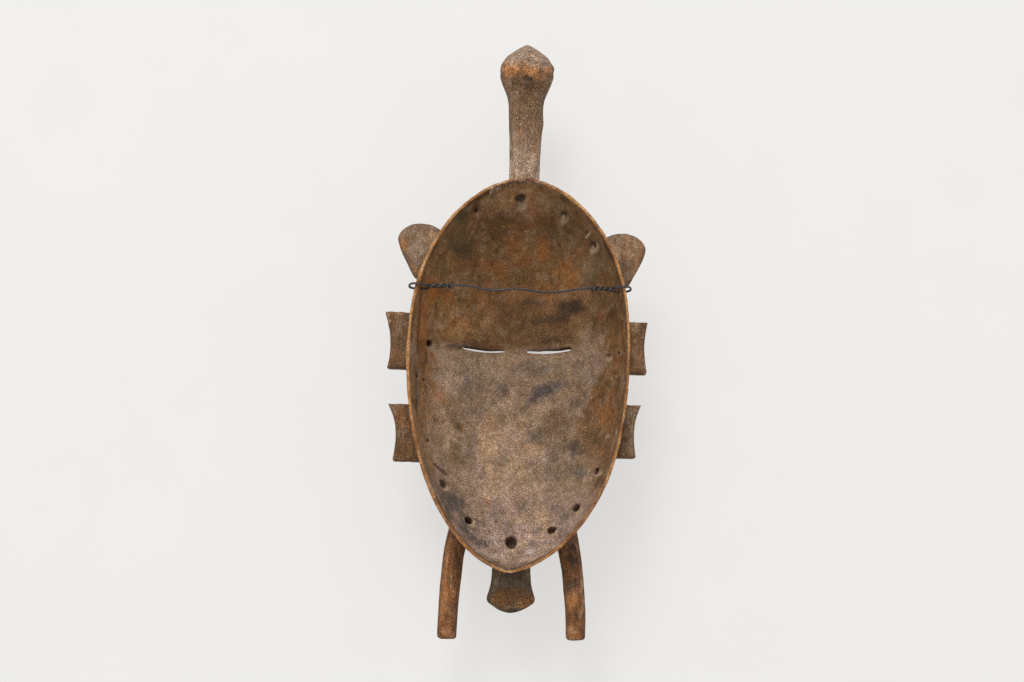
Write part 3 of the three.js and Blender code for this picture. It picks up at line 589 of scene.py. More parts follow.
def eyelids():
    """Two swelling half-closed lids under the brows."""
    depth = float(face_depth(np.array(LID_X), np.array(LID_Y - 4)))
    return [ball((side * LID_X, LID_Y, depth), (LID_LENGTH, LID_HEIGHT, LID_SWELL)) for side in (-1, 1)]


def oval_tube(stations, sides=56):
    """Oval rings round the mouth's middle at (half length, half height, depth) stations."""
    length, height, depth = np.array(stations, float).T[..., None]
    turn = np.linspace(0, 2 * math.pi, sides + 1)[None, :-1]
    return loft(place(length * np.cos(turn), MOUTH_Y + height * np.sin(turn), depth))


def mouth():
    """A small protruding oval mouth: a cone to the lips, which are rounded by a quarter circle."""
    turn = np.linspace(0, math.pi / 2, 8)
    back = RIM_HEIGHT - LIP_ROUND
    lips = [(MOUTH_LIP[0] - LIP_ROUND * (1 - math.cos(a)), MOUTH_LIP[1] - LIP_ROUND * (1 - math.cos(a)),
             back + (LIP_ROUND + 0.6) * math.sin(a)) for a in turn]
    waist = (MOUTH_LIP[0] - 0.8, MOUTH_LIP[1] - 0.8, back - 3.0)
    return oval_tube([(*MOUTH_BASE, MOUTH_BASE_DEPTH), waist, *lips])


def mouth_recess():
    """The open mouth between the lips."""
    length, height = MOUTH_RECESS
    floor = RIM_HEIGHT - MOUTH_RECESS_DEPTH
    return oval_tube([(length - 0.6, height - 0.6, floor), (length, height, RIM_HEIGHT + 2)])


def teeth():
    """A row of small rounded teeth across the mouth."""
    places = (np.arange(TEETH_COUNT) - (TEETH_COUNT - 1) / 2) * TOOTH_PITCH
    depth = RIM_HEIGHT - TOOTH_BELOW - 1.6
    return [ball((x, MOUTH_Y, depth), (TOOTH_WIDTH / 2, TOOTH_HEIGHT / 2, 1.7), 12, 16) for x in places]


def stem():
    """Softly eight-sided stem that swells to a knob, drawn in at four sides towards the cap's tip.

    Its right side has one sharper facet line and a low swelling.
    """
    y = np.unique(np.concatenate([np.linspace(84, 162, 80), np.linspace(162, 184.95, 60)]))[:, None]
    radius = along(STEM[:, :2], y)
    flat = np.interp(y, STEM[:, 0], STEM[:, 2])
    turn = np.linspace(0, 2 * math.pi, 97)[None, :-1]
    facets = STEM_FACETS * fold(160, 148, y) * (1 - np.cos(8 * turn)) / 2
    r = radius * (1 - CAP_FLATTENING * flat * (1 - np.cos(4 * turn)) / 2 - facets)
    low = np.minimum(turn, 2 * math.pi - turn)
    swelling = 0.8 * np.exp(-((y - 136.5) / 4.5) ** 2 - (low / 0.6) ** 2)
    line = 0.4 * fold(108, 114, y) * fold(150, 144, y) * np.exp(-((turn - 0.78) / 0.13) ** 2)
    r = r + swelling + line
    return loft(place(STEM_X + r * np.cos(turn), y, STEM_DEPTH - r * np.sin(turn)))


def smooth_outline(points, count):
    """A closed outline's points spread evenly along a centripetal curve through the given ones."""
    return spline(np.concatenate([points, np.zeros((len(points), 1))], 1), count)[:, :2]


def pillow(outline, middle, depth, thickness, power):
    """A plate with rounded edges: its outline shrinks to the middle as (1 - v^power)^(1/power)."""
    v = np.sin(np.linspace(-math.pi / 2 + 0.01, math.pi / 2 - 0.01, 40))
    scale = (1 - np.abs(v) ** power) ** (1 / power)
    inner = np.maximum(scale, 0.02)[:, None]
    x = middle[0] + (outline[None, :, 0] - middle[0]) * inner
    y = middle[1] + (outline[None, :, 1] - middle[1]) * inner
    return loft(place(x, y, depth + thickness / 2 * v[:, None]))


def horn_lobes():
    """The two short fan-shaped lobes at the upper sides."""
    forms = []
    for side, out, up in LOBE_SIDES:
        outline = smooth_outline(LOBE.astype(float), 90)
        outline = np.stack([side * (out - outline[:, 0]), outline[:, 1] + up], -1)
        forms.append(pillow(outline, (side * (out + 56), 62 + up), LOBE_DEPTH, LOBE_THICKNESS, 3.2))
    return forms


def wings():
    """The four flat side wings: straight edges, and a concave end that follows a parabola."""
    forms = []
    for side, top, bottom, (at_top, at_waist, at_bottom) in WINGS:
        root = float(half_width(np.array(top if abs(top) > abs(bottom) else bottom))) - 10
        t = np.linspace(0, 1, 30)
        y = bottom + (top - bottom) * t
        pull = 2 * at_waist - (at_top + at_bottom) / 2
        end = (1 - t) ** 2 * at_bottom + 2 * t * (1 - t) * pull + t**2 * at_top
        s = np.linspace(0, 1, 16)[1:-1]
        x = np.concatenate([end, at_top + (root - at_top) * s, np.full(30, root),
                            root + (at_bottom - root) * s])
        y = np.concatenate([y, np.full(14, top), y[::-1], np.full(14, bottom)])
        middle = ((root + at_waist) / 2, (top + bottom) / 2)
        outline = np.stack([side * x, y], -1)
        forms.append(pillow(outline, (side * middle[0], middle[1]), WING_DEPTH, WING_THICKNESS, 9))
    return forms


def spline(points, count):
    """A centripetal curve through points, read at evenly spaced shares of each stretch."""
    points = np.asarray(points, float)
    padded = np.concatenate([[2 * points[0] - points[1]], points, [2 * points[-1] - points[-2]]])
    steps = np.sqrt(np.maximum(np.linalg.norm(np.diff(padded, axis=0), axis=1), 1e-6))
    where = np.linspace(0, len(points) - 1 - 1e-9, count)
    i = where.astype(int)
    t = (where - i)[:, None]
    before, here, after, beyond = padded[i], padded[i + 1], padded[i + 2], padded[i + 3]
    a, b, c = steps[i][:, None], steps[i + 1][:, None], steps[i + 2][:, None]
    leave = ((here - before) / a - (after - before) / (a + b) + (after - here) / b) * b
    arrive = ((after - here) / b - (beyond - here) / (b + c) + (beyond - after) / c) * b
    bend = -3 * here + 3 * after - 2 * leave - arrive
    return here + leave * t + bend * t**2 + (2 * here - 2 * after + leave + arrive) * t**3


def tube(path, radius, reference, sides):
    """Round rings along a path of the mask's own frame, squared to it by means of one fixed direction."""
    points = place(*path.T)
    tangent = np.gradient(points, axis=0)
    tangent /= np.linalg.norm(tangent, axis=1, keepdims=True)
    side = np.cross(tangent, reference)
    side /= np.linalg.norm(side, axis=1, keepdims=True)
    over = np.cross(side, tangent)
    turn = np.linspace(0, 2 * math.pi, sides + 1)[:-1]
    reach = np.broadcast_to(radius, len(points))[:, None, None] * MM
    ring = np.cos(turn)[None, :, None] * side[:, None] + np.sin(turn)[None, :, None] * over[:, None]
    return points[:, None] + reach * ring


def legs():
    """Two curved legs: round sections along a bent centre line, rounded over at the foot."""
    forms = []
    for line in LEGS:
        path = spline(np.array(line, float), 90)
        left = np.linalg.norm(path[-1, :3] - path[:, :3], axis=1)
        edge = np.clip(1 - left / FOOT_ROUND, 0, 1)
        radius = path[:, 3] - FOOT_ROUND * (1 - np.sqrt(1 - edge**2 * 0.98))
        forms.append(loft(tube(path[:, :3], radius, (0, 0, 1), 40)))
    return forms


def chin_tab():
    """The flat tab under the chin: neck, flare and round end, the same on both sides of its middle."""
    corners = np.concatenate([TAB, TAB[-2::-1] * (-1, 1)])
    outline = smooth_outline(np.concatenate([corners, corners[:1]]), 161)[:-1] + (TAB_X, 0)
    return pillow(outline, (TAB_X, -122), TAB_DEPTH, TAB_THICKNESS, 4)


def blade(ends, height, seed):
    """A thin sagging cutter for one slit, with an uneven edge and its upper side cut back at the hollow."""
    (x0, y0), (x1, y1) = ends
    t = np.linspace(0, 1, 56)[:, None]
    x = x0 + (x1 - x0) * t
    wavy = noise(np.concatenate([x, 0 * t, 0 * t], -1), 3.4, seed)[:, None]
    half = height / 2 * (0.3 + 0.7 * np.sqrt(np.sin(math.pi * t))) * (1 + 0.2 * wavy)
    depth = np.array([34, 34, SLIT_DEPTH - 0.8, SLIT_DEPTH + 2.4, RIM_HEIGHT + 1, RIM_HEIGHT + 1])[None, :]
    edge = np.array([-1, 1, 1, 1, 1, -1])[None, :]
    back = np.array([0, 4.2, 1, 0, 0, 0])[None, :] * SLIT_LIP * np.sin(math.pi * t) ** 0.25
    y = y0 + (y1 - y0) * t - SLIT_SAG * np.sin(math.pi * t) + half * edge + back + 0.12 * wavy
    return loft(place(x + 0 * edge, y + (depth - SLIT_DEPTH) * SLIT_SLANT, depth + 0 * x))


def wall_slope(x, y):
    """Unit direction square into the hollow's wall, by small differences of the depth."""
    small = 0.2
    dx = (hollow_depth(x + small, y) - hollow_depth(x - small, y)) / (2 * small)
    dy = (hollow_depth(x, y + small) - hollow_depth(x, y - small)) / (2 * small)
    into = np.array([-dx, -dy, -1.0])
    return into / np.linalg.norm(into)


def hole_cutters():
    """Small worn holes: uneven rods between square to the wall and straight down, wider at the mouth."""
    forms = []
    turn = np.linspace(0, 2 * math.pi, 25)[:-1]
    flare = np.array([HOLE_MOUTH + 0.3, HOLE_MOUTH + 0.1, HOLE_MOUTH, 1.1, 0.98, 0.92, 0.6])
    for x, y, size, reach in HOLES:
        across = x - wander(y)
        into = HOLE_TILT * wall_slope(across, y) + (0, 0, -1)
        into /= np.linalg.norm(into)
        start = np.array([x, y, float(hollow_depth(across, np.array(y)))])
        steps = np.array([-HOLE_START, -0.6, 0.0, 0.15 * reach, 0.4 * reach, 0.8 * reach, reach])
        path = start + steps[:, None] * into * (1, 1, -1)
        uneven = 1 + 0.08 * np.cos(2 * turn + x) + 0.05 * np.cos(3 * turn + y)
        centre = place(*path.T)[:, None]
        rings = tube(path, 1.0, (0.3, 0.2, 1.0), len(turn))
        forms.append(loft(centre + (rings - centre) * (size / 2 * flare[:, None, None] * uneven[:, None])))
    for side, y, depth, *_ in WIRE_ENDS:
        path = np.array([(side * 40, y, depth), (side * 55, y, depth), (side * 70, y, depth)])
        forms.append(loft(tube(path, WIRE_HOLE_RADIUS, (0, 0, 1), 20)))
    return forms


def carve_mask(sizes):
    """The whole carving: forms joined and hollowed, turned into one even mesh, then worn and pierced."""
    mask = mesh_from("mask_carving", bowl(face_depth, 0.0, SECTION_GAP, 0.0))
    for form in (*brows(), *scars(), hair_band(), forehead_boss(), nose(), *eyelids(), mouth(), stem(),
                 *horn_lobes(), *wings(), *legs(), chin_tab()):
        combine(mask, form, "UNION")
    combine(mask, mouth_recess(), "DIFFERENCE")
    combine(mask, bowl(hollow_depth, RIM_EDGE, SECTION_GAP, HOLLOW_RISE), "DIFFERENCE")
    for tooth in teeth():
        combine(mask, tooth, "UNION")
    apply_modifier(mask, "REMESH", mode="VOXEL", voxel_size=sizes.voxel)
    apply_modifier(mask, "SMOOTH", factor=0.5, iterations=2)
    weather(mask.data, sizes)
    triangles = sum(len(face.vertices) - 2 for face in mask.data.polygons)
    apply_modifier(mask, "DECIMATE", ratio=min(1, sizes.faces / triangles))
    cutters = [blade(ends, height, 5 + number) for number, (*ends, height) in enumerate(SLITS)]
    for cutter in (*cutters, *hole_cutters()):
        combine(mask, cutter, "DIFFERENCE")
    return mask


def on_hollow(x, y, depth):
    """1 on the hollow's own surface, 0 elsewhere; x is counted from the shell's middle line."""
    inside = (np.abs(x) < half_width(y, RIM_EDGE) + 0.3) & (y < CROWN_REACH) & (y > -CHIN_REACH)
    return inside * fold(3.4, 1.8, np.abs(depth - hollow_depth(x, y)))


def to_line(x, y, line):
    """Distance from the line between two places, in plan, and the share of the way along it."""
    x0, y0, x1, y1 = line
    way = (x1 - x0) ** 2 + (y1 - y0) ** 2
    t = np.clip(((x - x0) * (x1 - x0) + (y - y0) * (y1 - y0)) / way, 0, 1)
    return np.hypot(x - x0 - t * (x1 - x0), y - y0 - t * (y1 - y0)), t


def weather(mesh, sizes):
    """Moves each point along its normal by the carver's unevenness and by wear, inside the solid's box."""
    points, directions = coordinates(mesh), coordinates(mesh, "normal")
    spots = points / MM
    x, y, depth = own_frame(points)
    hollow = on_hollow(x - wander(y), y, depth)
    back = fold(2.4, 0.6, depth) * (1 - hollow) * (np.abs(x) < HALF_WIDTH + 2)
    broad, fine = layered(spots, BROAD_WAVES), layered(spots, FINE_WAVES)
    facets = np.abs(noise(spots, (8, 21, 30), 18)) + 0.5 * np.abs(noise(spots, (5, 14, 30), 19))
    move = sizes.waviness * broad + sizes.tool_marks * (fine - 1.3 * hollow * facets)
    band = np.exp(-((y - BAND_Y) / BAND_SPREAD) ** 2)
    move += 0.6 * MM * band * noise(spots, (3.4, 2.4, 3.4), 15)
    for px, py, radius, deep in DENTS:
        move -= hollow * deep * MM * np.clip(1 - ((x - px) ** 2 + (y - py) ** 2) / radius**2, 0, 1) ** 2
    for *line, half, deep in GOUGES:
        gap, t = to_line(x, y, line)
        move -= hollow * deep * MM * fold(half, 0, gap) * (0.6 + 0.4 * np.sin(math.pi * t))
    points += directions * move[:, None]
    chipped = np.exp(-((x - CHIPPED_X) / CHIPPED_WIDE) ** 2 - ((y - CHIPPED_Y) / CHIPPED_HIGH) ** 2)
    points[:, 2] -= back * sizes.rim_chips * chipped * np.clip(0.3 + noise(spots, 2.1, 16), 0, 1.2)
    points[:, 2] -= back * 0.35 * MM * (0.5 + 0.5 * noise(spots, (9, 9, 50), 17))
    inset = 0.03 * MM
    move_points(mesh, np.clip(points, MASK_LOW + (inset, inset, 0), MASK_HIGH - inset))


def bend_of(mesh, points, directions):
    """How far each vertex stands out of its neighbours' mean, along its normal, in millimetres."""
    edges = np.empty(2 * len(mesh.edges), np.int32)
    mesh.edges.foreach_get("vertices", edges)
    a, b = edges.reshape(-1, 2).T
    size = len(points)
    count = np.maximum(np.bincount(a, minlength=size) + np.bincount(b, minlength=size), 1)

    def around(values):
        """Mean of the neighbours' values."""
        return (np.bincount(a, values[b], size) + np.bincount(b, values[a], size)) / count

    mean = np.stack([around(points[:, axis]) for axis in range(3)], -1)
    standing = np.einsum("ij,ij->i", points - mean, directions) / MM
    for _ in range(3):
        standing = 0.5 * standing + 0.5 * around(standing)
    return standing


def rim_distance(x, y, depth):
    """Distance in from the shell's outer edge, in millimetres, near the back edge; far away elsewhere."""
    turn = np.linspace(0, math.pi, 900)
    rows = np.cos(turn) * np.where(np.cos(turn) > 0, CROWN_REACH, CHIN_REACH)
    edge_x = np.concatenate([wander(rows) - half_width(rows), wander(rows) + half_width(rows)])
    edge_y = np.concatenate([rows, rows])
    inwards = np.full(len(x), 9.0)
    for chunk in np.array_split(np.flatnonzero(depth < 5), 24):
        gap = np.hypot(x[chunk, None] - edge_x, y[chunk, None] - edge_y).min(axis=1)
        inside = np.abs(x[chunk] - wander(y[chunk])) < half_width(y[chunk])
        inwards[chunk] = np.where(inside, gap, -gap)
    return inwards


# Stains in the hollow, with a few ovals of painted shade, for each colour: x, y, half width, half height,
# strength
HOLLOW_STAINS_AND_SHADE = (
    ("ash", (
        (-28, -3, 16, 7, 0.5), (12, 3, 22, 5, 0.35), (41, 4, 6, 9, 0.22), (50, 6, 3, 4, 0.3),
        (-43, 4, 5, 6, 0.6), (-36, -10, 8, 8, 0.35), (41, 54, 6, 9, 0.35), (-58, 3, 1.4, 14, 0.7),
        (13, -66, 7, 6, 0.3), (25, -73, 7, 7, 0.35), (-24, -71, 7, 6, 0.35), (38, 18, 7, 4, 0.3),
    )),
    ("sand", (
        (-8, -42, 6, 7, 0.65), (-15, -36, 4, 8, 0.4), (-13, -54, 7, 11, 0.8), (-14, -64, 5, 6, 0.6),
        (11, -29, 7, 7, 0.3), (2, -36, 7, 9, 0.5), (-1, -45, 6, 8, 0.55), (-4, -65, 9, 9, 0.55),
        (3, -56, 8, 9, 0.45), (18, -87, 5, 8, 0.6), (8, -90, 6, 6, 0.35), (15, -97, 5, 4, 0.45),
        (-3, -67, 9, 7, 0.4), (-8, -76, 8, 5, 0.35), (15, -73, 7, 6, 0.3),
    )),
    ("mauve", (
        (0, -44, 7, 8, 0.5), (-4, -68, 8, 7, 0.45), (-9, -103, 9, 5, 0.7), (6, -94, 9, 5, 0.6),
        (-7, -80, 9, 6, 0.5), (-44, -71, 3, 9, 0.6), (7, -109, 8, 4, 0.6), (-20, -60, 6, 7, 0.3),
        (23, -47, 4, 6, 0.4), (-28, -30, 6, 7, 0.3), (8, -74, 8, 6, 0.35), (-19, -108, 5, 3, 0.5),
        (18, -101, 7, 4, 0.4), (-1, 84, 10, 4, 0.25),
    )),
    ("rust", (
        (-2, 72, 5, 7, 0.8), (3.5, 63, 5, 4, 0.6), (14.5, 65, 3.6, 8, 0.85), (21, 58, 3.4, 5, 0.75),
        (32, 49, 3.6, 7, 0.75), (28, 57, 3, 4, 0.5), (-16.5, 56, 8, 4, 0.6), (-8, 50, 6, 3, 0.4),
        (8, 86, 6, 5, 0.35), (-48, 37, 6, 6, 1.0), (-41, 37, 5, 5, 0.8), (-41, 31, 6, 4, 0.5),
        (-30, 26, 6, 4, 0.25), (-37, 20, 5, 4, 0.25), (-38.5, 57, 7, 4, 0.35), (-54, 14, 3.5, 22, 0.65),
        (-47, -8, 3.5, 14, 0.75), (-42, -19, 5, 8, 0.55), (-43, -34, 4, 4, 0.55), (41, -25, 3.4, 9, 0.9),
        (46, -28, 2.4, 10, 0.75), (46, -14, 3.6, 10, 0.55), (44, -36, 4, 6, 0.4), (51, -28, 4, 16, 0.55),
        (54, 8, 4, 14, 0.5), (-21, 40, 8, 6, 0.4), (10, 44, 14, 6, 0.35), (-5, 38, 9, 6, 0.3),
        (-15, -34, 3, 7, 0.3),
    )),
    # Umber: the wide flat ovals at y 11 to 16, across the eye slits, are painted shade of the eye crease; the
    # rest are stains
    ("umber", (
        (33, 34, 7.5, 5.5, 1.0), (24, 27, 9, 4.5, 0.9), (14, 29, 10, 5, 0.6), (2, 22, 14, 4, 0.45),
        (20, 16, 16, 4, 0.65), (0, 33, 12, 4, 0.45), (0, 51, 9, 7, 0.3), (52.5, 25.7, 3, 4, 0.8),
        (56, 20, 2.5, 5, 0.5), (-12, 14, 26, 4, 0.6), (13, 13.5, 24, 3.5, 0.55),
        (-22, 11.4, 22, 2.0, 0.9), (14, 76, 6, 6, 0.5), (-14, 76, 6, 7, 0.5), (11, 81, 5, 4, 0.4),
        (-7, 82, 9, 5, 0.35), (-26, 83, 3, 2.4, 0.8), (-41, 68, 4, 4, 0.5), (25, -31, 8, 6, 0.6),
        (37, -18, 4, 7, 0.65), (41, -26, 3, 8, 0.5), (42, -31, 2.4, 10, 0.85), (48, -20, 2, 9, 0.5),
        (16, 20, 18, 6, 0.4), (34.5, -49, 4.5, 6, 0.6), (44, -44, 6, 5, 0.55), (46.5, -72, 4, 9, 0.65),
        (-34, -33, 5, 6, 0.35), (-34, -51, 4, 5, 0.5), (-31, -38, 1.5, 3, 0.9),
        (-45, -34, 2.2, 2.5, 0.7), (-41, -36, 2.2, 2.5, 0.6), (-53, -5, 3, 14, 0.5),
        (-55, -30, 2, 3, 0.7), (52, -60, 3, 8, 0.35), (22, -38, 6, 5, 0.5), (0, 24, 18, 6, 0.3),
    )),
    ("olive", (
        (-35, 64, 7, 6, 0.9), (-35, 74, 5, 7, 0.9), (-39, 77, 4, 6, 0.7), (-21, 90, 8, 4, 0.55),
        (20, 60, 3, 4, 0.5), (14, 58, 3, 3, 0.5), (44, 52, 6, 9, 0.6), (19, 89, 10, 5, 0.5),
        (46, 36, 6, 5, 0.45), (46, 62, 4, 6, 0.5), (30, 75, 9, 7, 0.4), (-45, 52, 5, 7, 0.45),
        (44, -44, 6, 6, 0.4), (-43, -46, 5, 7, 0.45), (28, 68, 6, 5, 0.4), (0, 52, 7, 4, 0.35),
        (47, 20, 6, 7, 0.4), (-31, -27, 9, 13, 0.35), (-33, -52, 8, 11, 0.35), (27, -48, 6, 10, 0.4),
        (30, -64, 6, 8, 0.35),
    )),
    ("slate", (
        (-35, -82, 4, 8, 0.9), (-29, -88, 5, 6, 0.9), (-25, -98, 5, 6, 1.0), (-17, -104, 7, 3.4, 0.9),
        (-27.5, -12, 3, 6, 0.65), (-21, -14, 5, 3, 0.45), (-7.5, -17.5, 4, 4, 0.5), (6, 0, 7, 2.5, 0.6),
        (13, -1, 12, 3.5, 0.55), (3, -4, 6, 3, 0.4), (22, -60, 4, 12, 0.4), (20, -78, 5, 8, 0.35),
        (14, -42, 3.5, 5, 0.55), (-30.5, -84.5, 5.5, 5, 1.0), (-34, -89, 3, 3, 0.8),
        (-26, -97, 4.5, 5, 0.95), (-21.5, -101, 4, 4, 0.95), (-28.5, -94, 3, 4, 0.8),
        (-39.5, -78, 3, 6, 0.65), (6, -83, 7, 4.5, 0.55), (-9.5, -86, 6, 4, 0.45), (-6, -91, 5, 3, 0.4),
        (27, -86, 5, 7, 0.75), (25.5, -96, 4, 4, 0.6), (14, -96, 4, 3, 0.5), (12, -102.5, 1.8, 1.8, 0.7),
        (37, -64, 4, 4, 0.65), (33, -60, 4, 5, 0.4), (34.5, -50, 4.5, 6, 0.6), (-40, -72, 2.5, 3, 0.4),
        (20, -104, 6, 2.5, 0.4), (-4, -97, 5, 3, 0.4),
    )),
    # Soot: the flat oval at x 22, y 15 is painted shade of the eye crease; the rest are dark stains
    ("soot", (
        (33, 34, 6, 4, 0.75), (26, 29, 7, 3.4, 0.55), (15, 27, 9, 3.4, 0.45), (22, 15, 12, 3, 0.4),
        (2, 20, 10, 3, 0.2), (4, 36, 12, 2.4, 0.25), (38, -20, 2.5, 6, 0.35), (41, -34, 2, 5, 0.5),
        (40, -26, 2, 6, 0.4), (-35, 77, 4, 3, 0.4), (36, -48, 3, 5, 0.4), (-33, 64, 5, 3, 0.35),
        (46, -72, 2, 8, 0.4), (-45, -36, 1.6, 5, 0.4), (-52, -2, 1.4, 6, 0.4), (-50, 12, 1.6, 5, 0.3),
    )),
    ("chalk", (
        (-10, -108.5, 3, 1.6, 0.45), (11, -107, 3.4, 2, 0.45), (20, -105.6, 3, 1.6, 0.35),
        (-16, -107, 2.4, 1.4, 0.4), (-16, 93, 4, 1.6, 0.35), (52, -43, 1.2, 1.4, 0.6),
    )),
)
# Bluish black smear: stretches from one place to the next, with their half widths and strengths
SMEAR = (
    (-2, -33, 0.8, 0.15), (6, -25, 1.1, 0.4), (10.5, -19.8, 2.6, 0.7), (14, -16, 4.6, 0.88),
    (18.5, -13.8, 4.7, 0.9), (22.5, -12, 3.5, 0.78), (29, -10.5, 1.7, 0.45),
)

# Stains on the outside, with a few ovals of painted light and shade, for each colour: x, y, half width, half
# height, strength
OUTER_STAINS_AND_LIGHT = (
    ("ash", (
        (-57, 60, 6, 10, 0.6), (60, 66, 7, 5, 0.45), (-67, -33, 5, 5, 0.4), (-64, -45, 4, 6, 0.25),
        (-6.5, -122.5, 2.4, 5, 0.35), (31.5, -126, 2, 2.2, 0.5), (68, 15, 4, 5, 0.2),
        (-2, 176, 7, 4, 0.3),
    )),
    ("ember", (
        (2, 163.6, 6.5, 3.2, 1.0), (-9, 164.8, 5, 3.2, 1.0), (60, 62, 8, 8, 0.25),
        (12, 166, 4, 2.6, 0.7), (-13, 168, 2.5, 3, 0.6), (-67, 58, 3, 9, 0.65), (-58, 46, 5, 5, 0.5),
        (66, 54, 3, 8, 0.5), (69, 63, 2, 6, 0.5), (-66, -4, 4, 4, 0.3), (-61, 0, 3, 8, 0.35),
        (67, -5, 3, 5, 0.4), (-37.5, -130, 3.5, 24, 0.5), (32.5, -132.5, 3, 4.5, 0.85),
        (-36, -152, 5, 3, 0.4), (29, -112, 2, 7, 0.3), (38.5, -110, 1.6, 12, 0.5), (9, 125, 2, 14, 0.3),
        (35, -150, 4, 5, 0.75),
    )),
    ("rust", (
        (-6, -133, 8, 3.4, 0.9), (6, -134, 6, 3, 0.8), (0, -129.5, 7, 2.4, 0.45),
        (-35, -120, 3, 14, 0.5), (-9, 135, 1.6, 14, 0.3), (66, -34, 5, 6, 0.3),
    )),
    ("sand", (
        (3, 167.2, 8, 1.6, 0.5), (-7, 168, 6, 1.8, 0.4), (7, 175, 5, 4, 0.35), (-51, 66, 4, 5, 0.45),
        (53, 62, 3, 6, 0.4), (-66, 20.8, 8, 1, 0.4), (64, 18, 3, 3, 0.3), (-35, -112, 1, 3, 0.5),
        (-33.5, -124, 1.1, 4, 0.5), (-31.5, -142, 1.2, 3.5, 0.5), (-37, -151.5, 2, 1.4, 0.5),
        (38, -120, 1, 9, 0.6), (38.6, -136, 1, 6, 0.4), (35, -149.5, 4, 3.4, 0.6),
        (-1, -137, 4, 0.5, 0.4), (3, -133.6, 2, 0.6, 0.4), (66, -34, 6, 8, 0.3),
    # The sand oval at x 66, y -34 is painted light on the lower right wing, which lies in the shell's shadow
    )),
    # Tan: the ovals near x 65, y -43 are painted light on the lower right wing, which lies in the shell's
    # shadow
    ("tan", ((66, -42, 8, 18, 0.9), (-66, 6, 8, 16, 0.45), (68, -2, 5, 9, 0.3), (64, -44, 5, 12, 0.5))),
    ("umber", (
        # Umber: the ovals at y 153 to 161 under the knob's band are painted shade under the knob; the rest
        # are stains
        (1, 143, 9, 6, 0.3), (0.5, 157, 9, 3, 0.7), (1, 153, 5, 4, 0.7), (-6, 160.4, 4, 1.6, 0.6),
        (57, 52, 4, 5, 0.65), (-60, 73, 8, 1.2, 0.5), (-66, -57, 6, 4, 0.5), (0, -133, 14, 6, 0.3),
        (-3.5, 165, 1.6, 3, 0.6), (7.5, 165.5, 1.4, 2.6, 0.5), (-30.5, -116, 2.4, 12, 0.8),
        (-31, -148, 2.6, 6, 0.5), (36, -138, 2, 5, 0.6), (33, -144, 3, 4, 0.45), (28.5, -106, 4, 6, 0.4),
        (-6, 117, 1.8, 4, 0.7), (0, 147, 8, 4, 0.3), (-68, -6, 5, 3, 0.5), (-69, 5, 5, 5, 0.35),
        (-71, 14, 2.6, 6, 0.5), (69, 14, 3, 5, 0.4),
    )),
    ("soot", (
        (33, -112, 3, 9, 0.85), (32, -123, 3, 6, 0.7), (0, -119, 6, 4, 0.45),
        (-1, -140.2, 13, 1.5, 0.85), (-12.5, -133, 1.4, 3, 0.7), (12.5, -133, 1.4, 3, 0.7),
        # Soot: the oval at y 158 under the knob is painted shade; the rest are dark stains
        (36, -142, 1.6, 3, 0.5), (-39.4, -128, 0.9, 20, 0.4), (1, 158, 2, 3, 0.5),
    )),
)


def lay(base, tone, amount):
    """Mixes one colour into the colours of all points by an amount from 0 to 1."""
    return base + (np.array(tone) - base) * np.clip(amount, 0, 1)[:, None]


def dapple(base, colours, patches, spots, where, seed):
    """Lays broken patches of several colours, each where a noise of its own runs high."""
    for number, (name, size, strength) in enumerate(patches):
        rough = 0.65 * noise(spots, (size, 1.5 * size, size), seed + number)
        rough += 0.45 * noise(spots, 0.4 * size, seed + number + 20)
        base = lay(base, getattr(colours, name), strength * where * fold(0.0, 0.5, rough))
    return base


def stain(base, colours, stains, x, y, uneven):
    """Lays soft ovals of colour, whose edges are broken by the unevenness."""
    for name, spots in stains:
        amount = np.zeros_like(x)
        for px, py, wide, high, strength in spots:
            oval = np.exp(-((x - px) / wide) ** 2 - ((y - py) / high) ** 2)
            amount = np.maximum(amount, strength * fold(0.12, 0.85, oval + 0.7 * uneven * np.sqrt(oval)))
        base = lay(base, getattr(colours, name), amount)
    return base


# Broken patches, for each part of the wood: colour, size and strength
CROWN_PATCHES = (("olive", 7, 0.55), ("umber", 5, 0.5), ("rust", 6, 0.35), ("ash", 4, 0.32),
                 ("umber", 2.4, 0.45), ("rust", 2.2, 0.3))
FLOOR_PATCHES = (("olive", 10, 0.26), ("mauve", 9, 0.6), ("sand", 6, 0.32), ("slate", 5, 0.30),
                 ("umber", 3, 0.20), ("mauve", 3.4, 0.3))
OUTER_PATCHES = (("rust", 6, 0.5), ("umber", 4, 0.6), ("ash", 3, 0.22), ("soot", 2.4, 0.45),
                 ("ember", 3, 0.3))


# They lighten the left wall where the key light leaves shade, lighten some other places and darken the middle
# above the eyes
# Painted light and shade on the hollow, as lighter and darker areas: strength, then ramps, each as axis,
# where it is 0 and where it is 1
PAINTED_LIGHT_AREAS = (
    (0.42, ("x", -22, -42), ("y", -72, -50)), (0.12, ("y", -45, -75), ("x", -26, -10)),
    (0.16, ("x", 18, 34), ("y", 40, 60)), (0.20, ("x", -10, -26), ("y", 10, 14), ("y", 34, 28)),
    (-0.15, ("x", 18, 30), ("y", 20, 27), ("y", 46, 36)),
    (-0.14, ("aside", 24, 6), ("y", 14, 24), ("y", 66, 54)),
)

# Where the outside changes: start and end of each ramp along the mask, or aside from its middle
LOBES_FROM, LEGS_FROM, LEGS_ASIDE = (30, 36), (-92, -100), (17, 21)
TAB_FROM, TAB_ASIDE = (-108, -114), (19, 16)
STEM_FROM, STEM_FOOT_TO, CAP_FROM = (94, 99), (134, 112), (164, 167.5)


def areas(table, **axes):
    """Sum of soft areas: each a strength times smooth ramps along the named axes."""
    total = 0
    for part, *ramps in table:
        for axis, low, high in ramps:
            part = part * fold(low, high, axes[axis])
        total = total + part
    return total


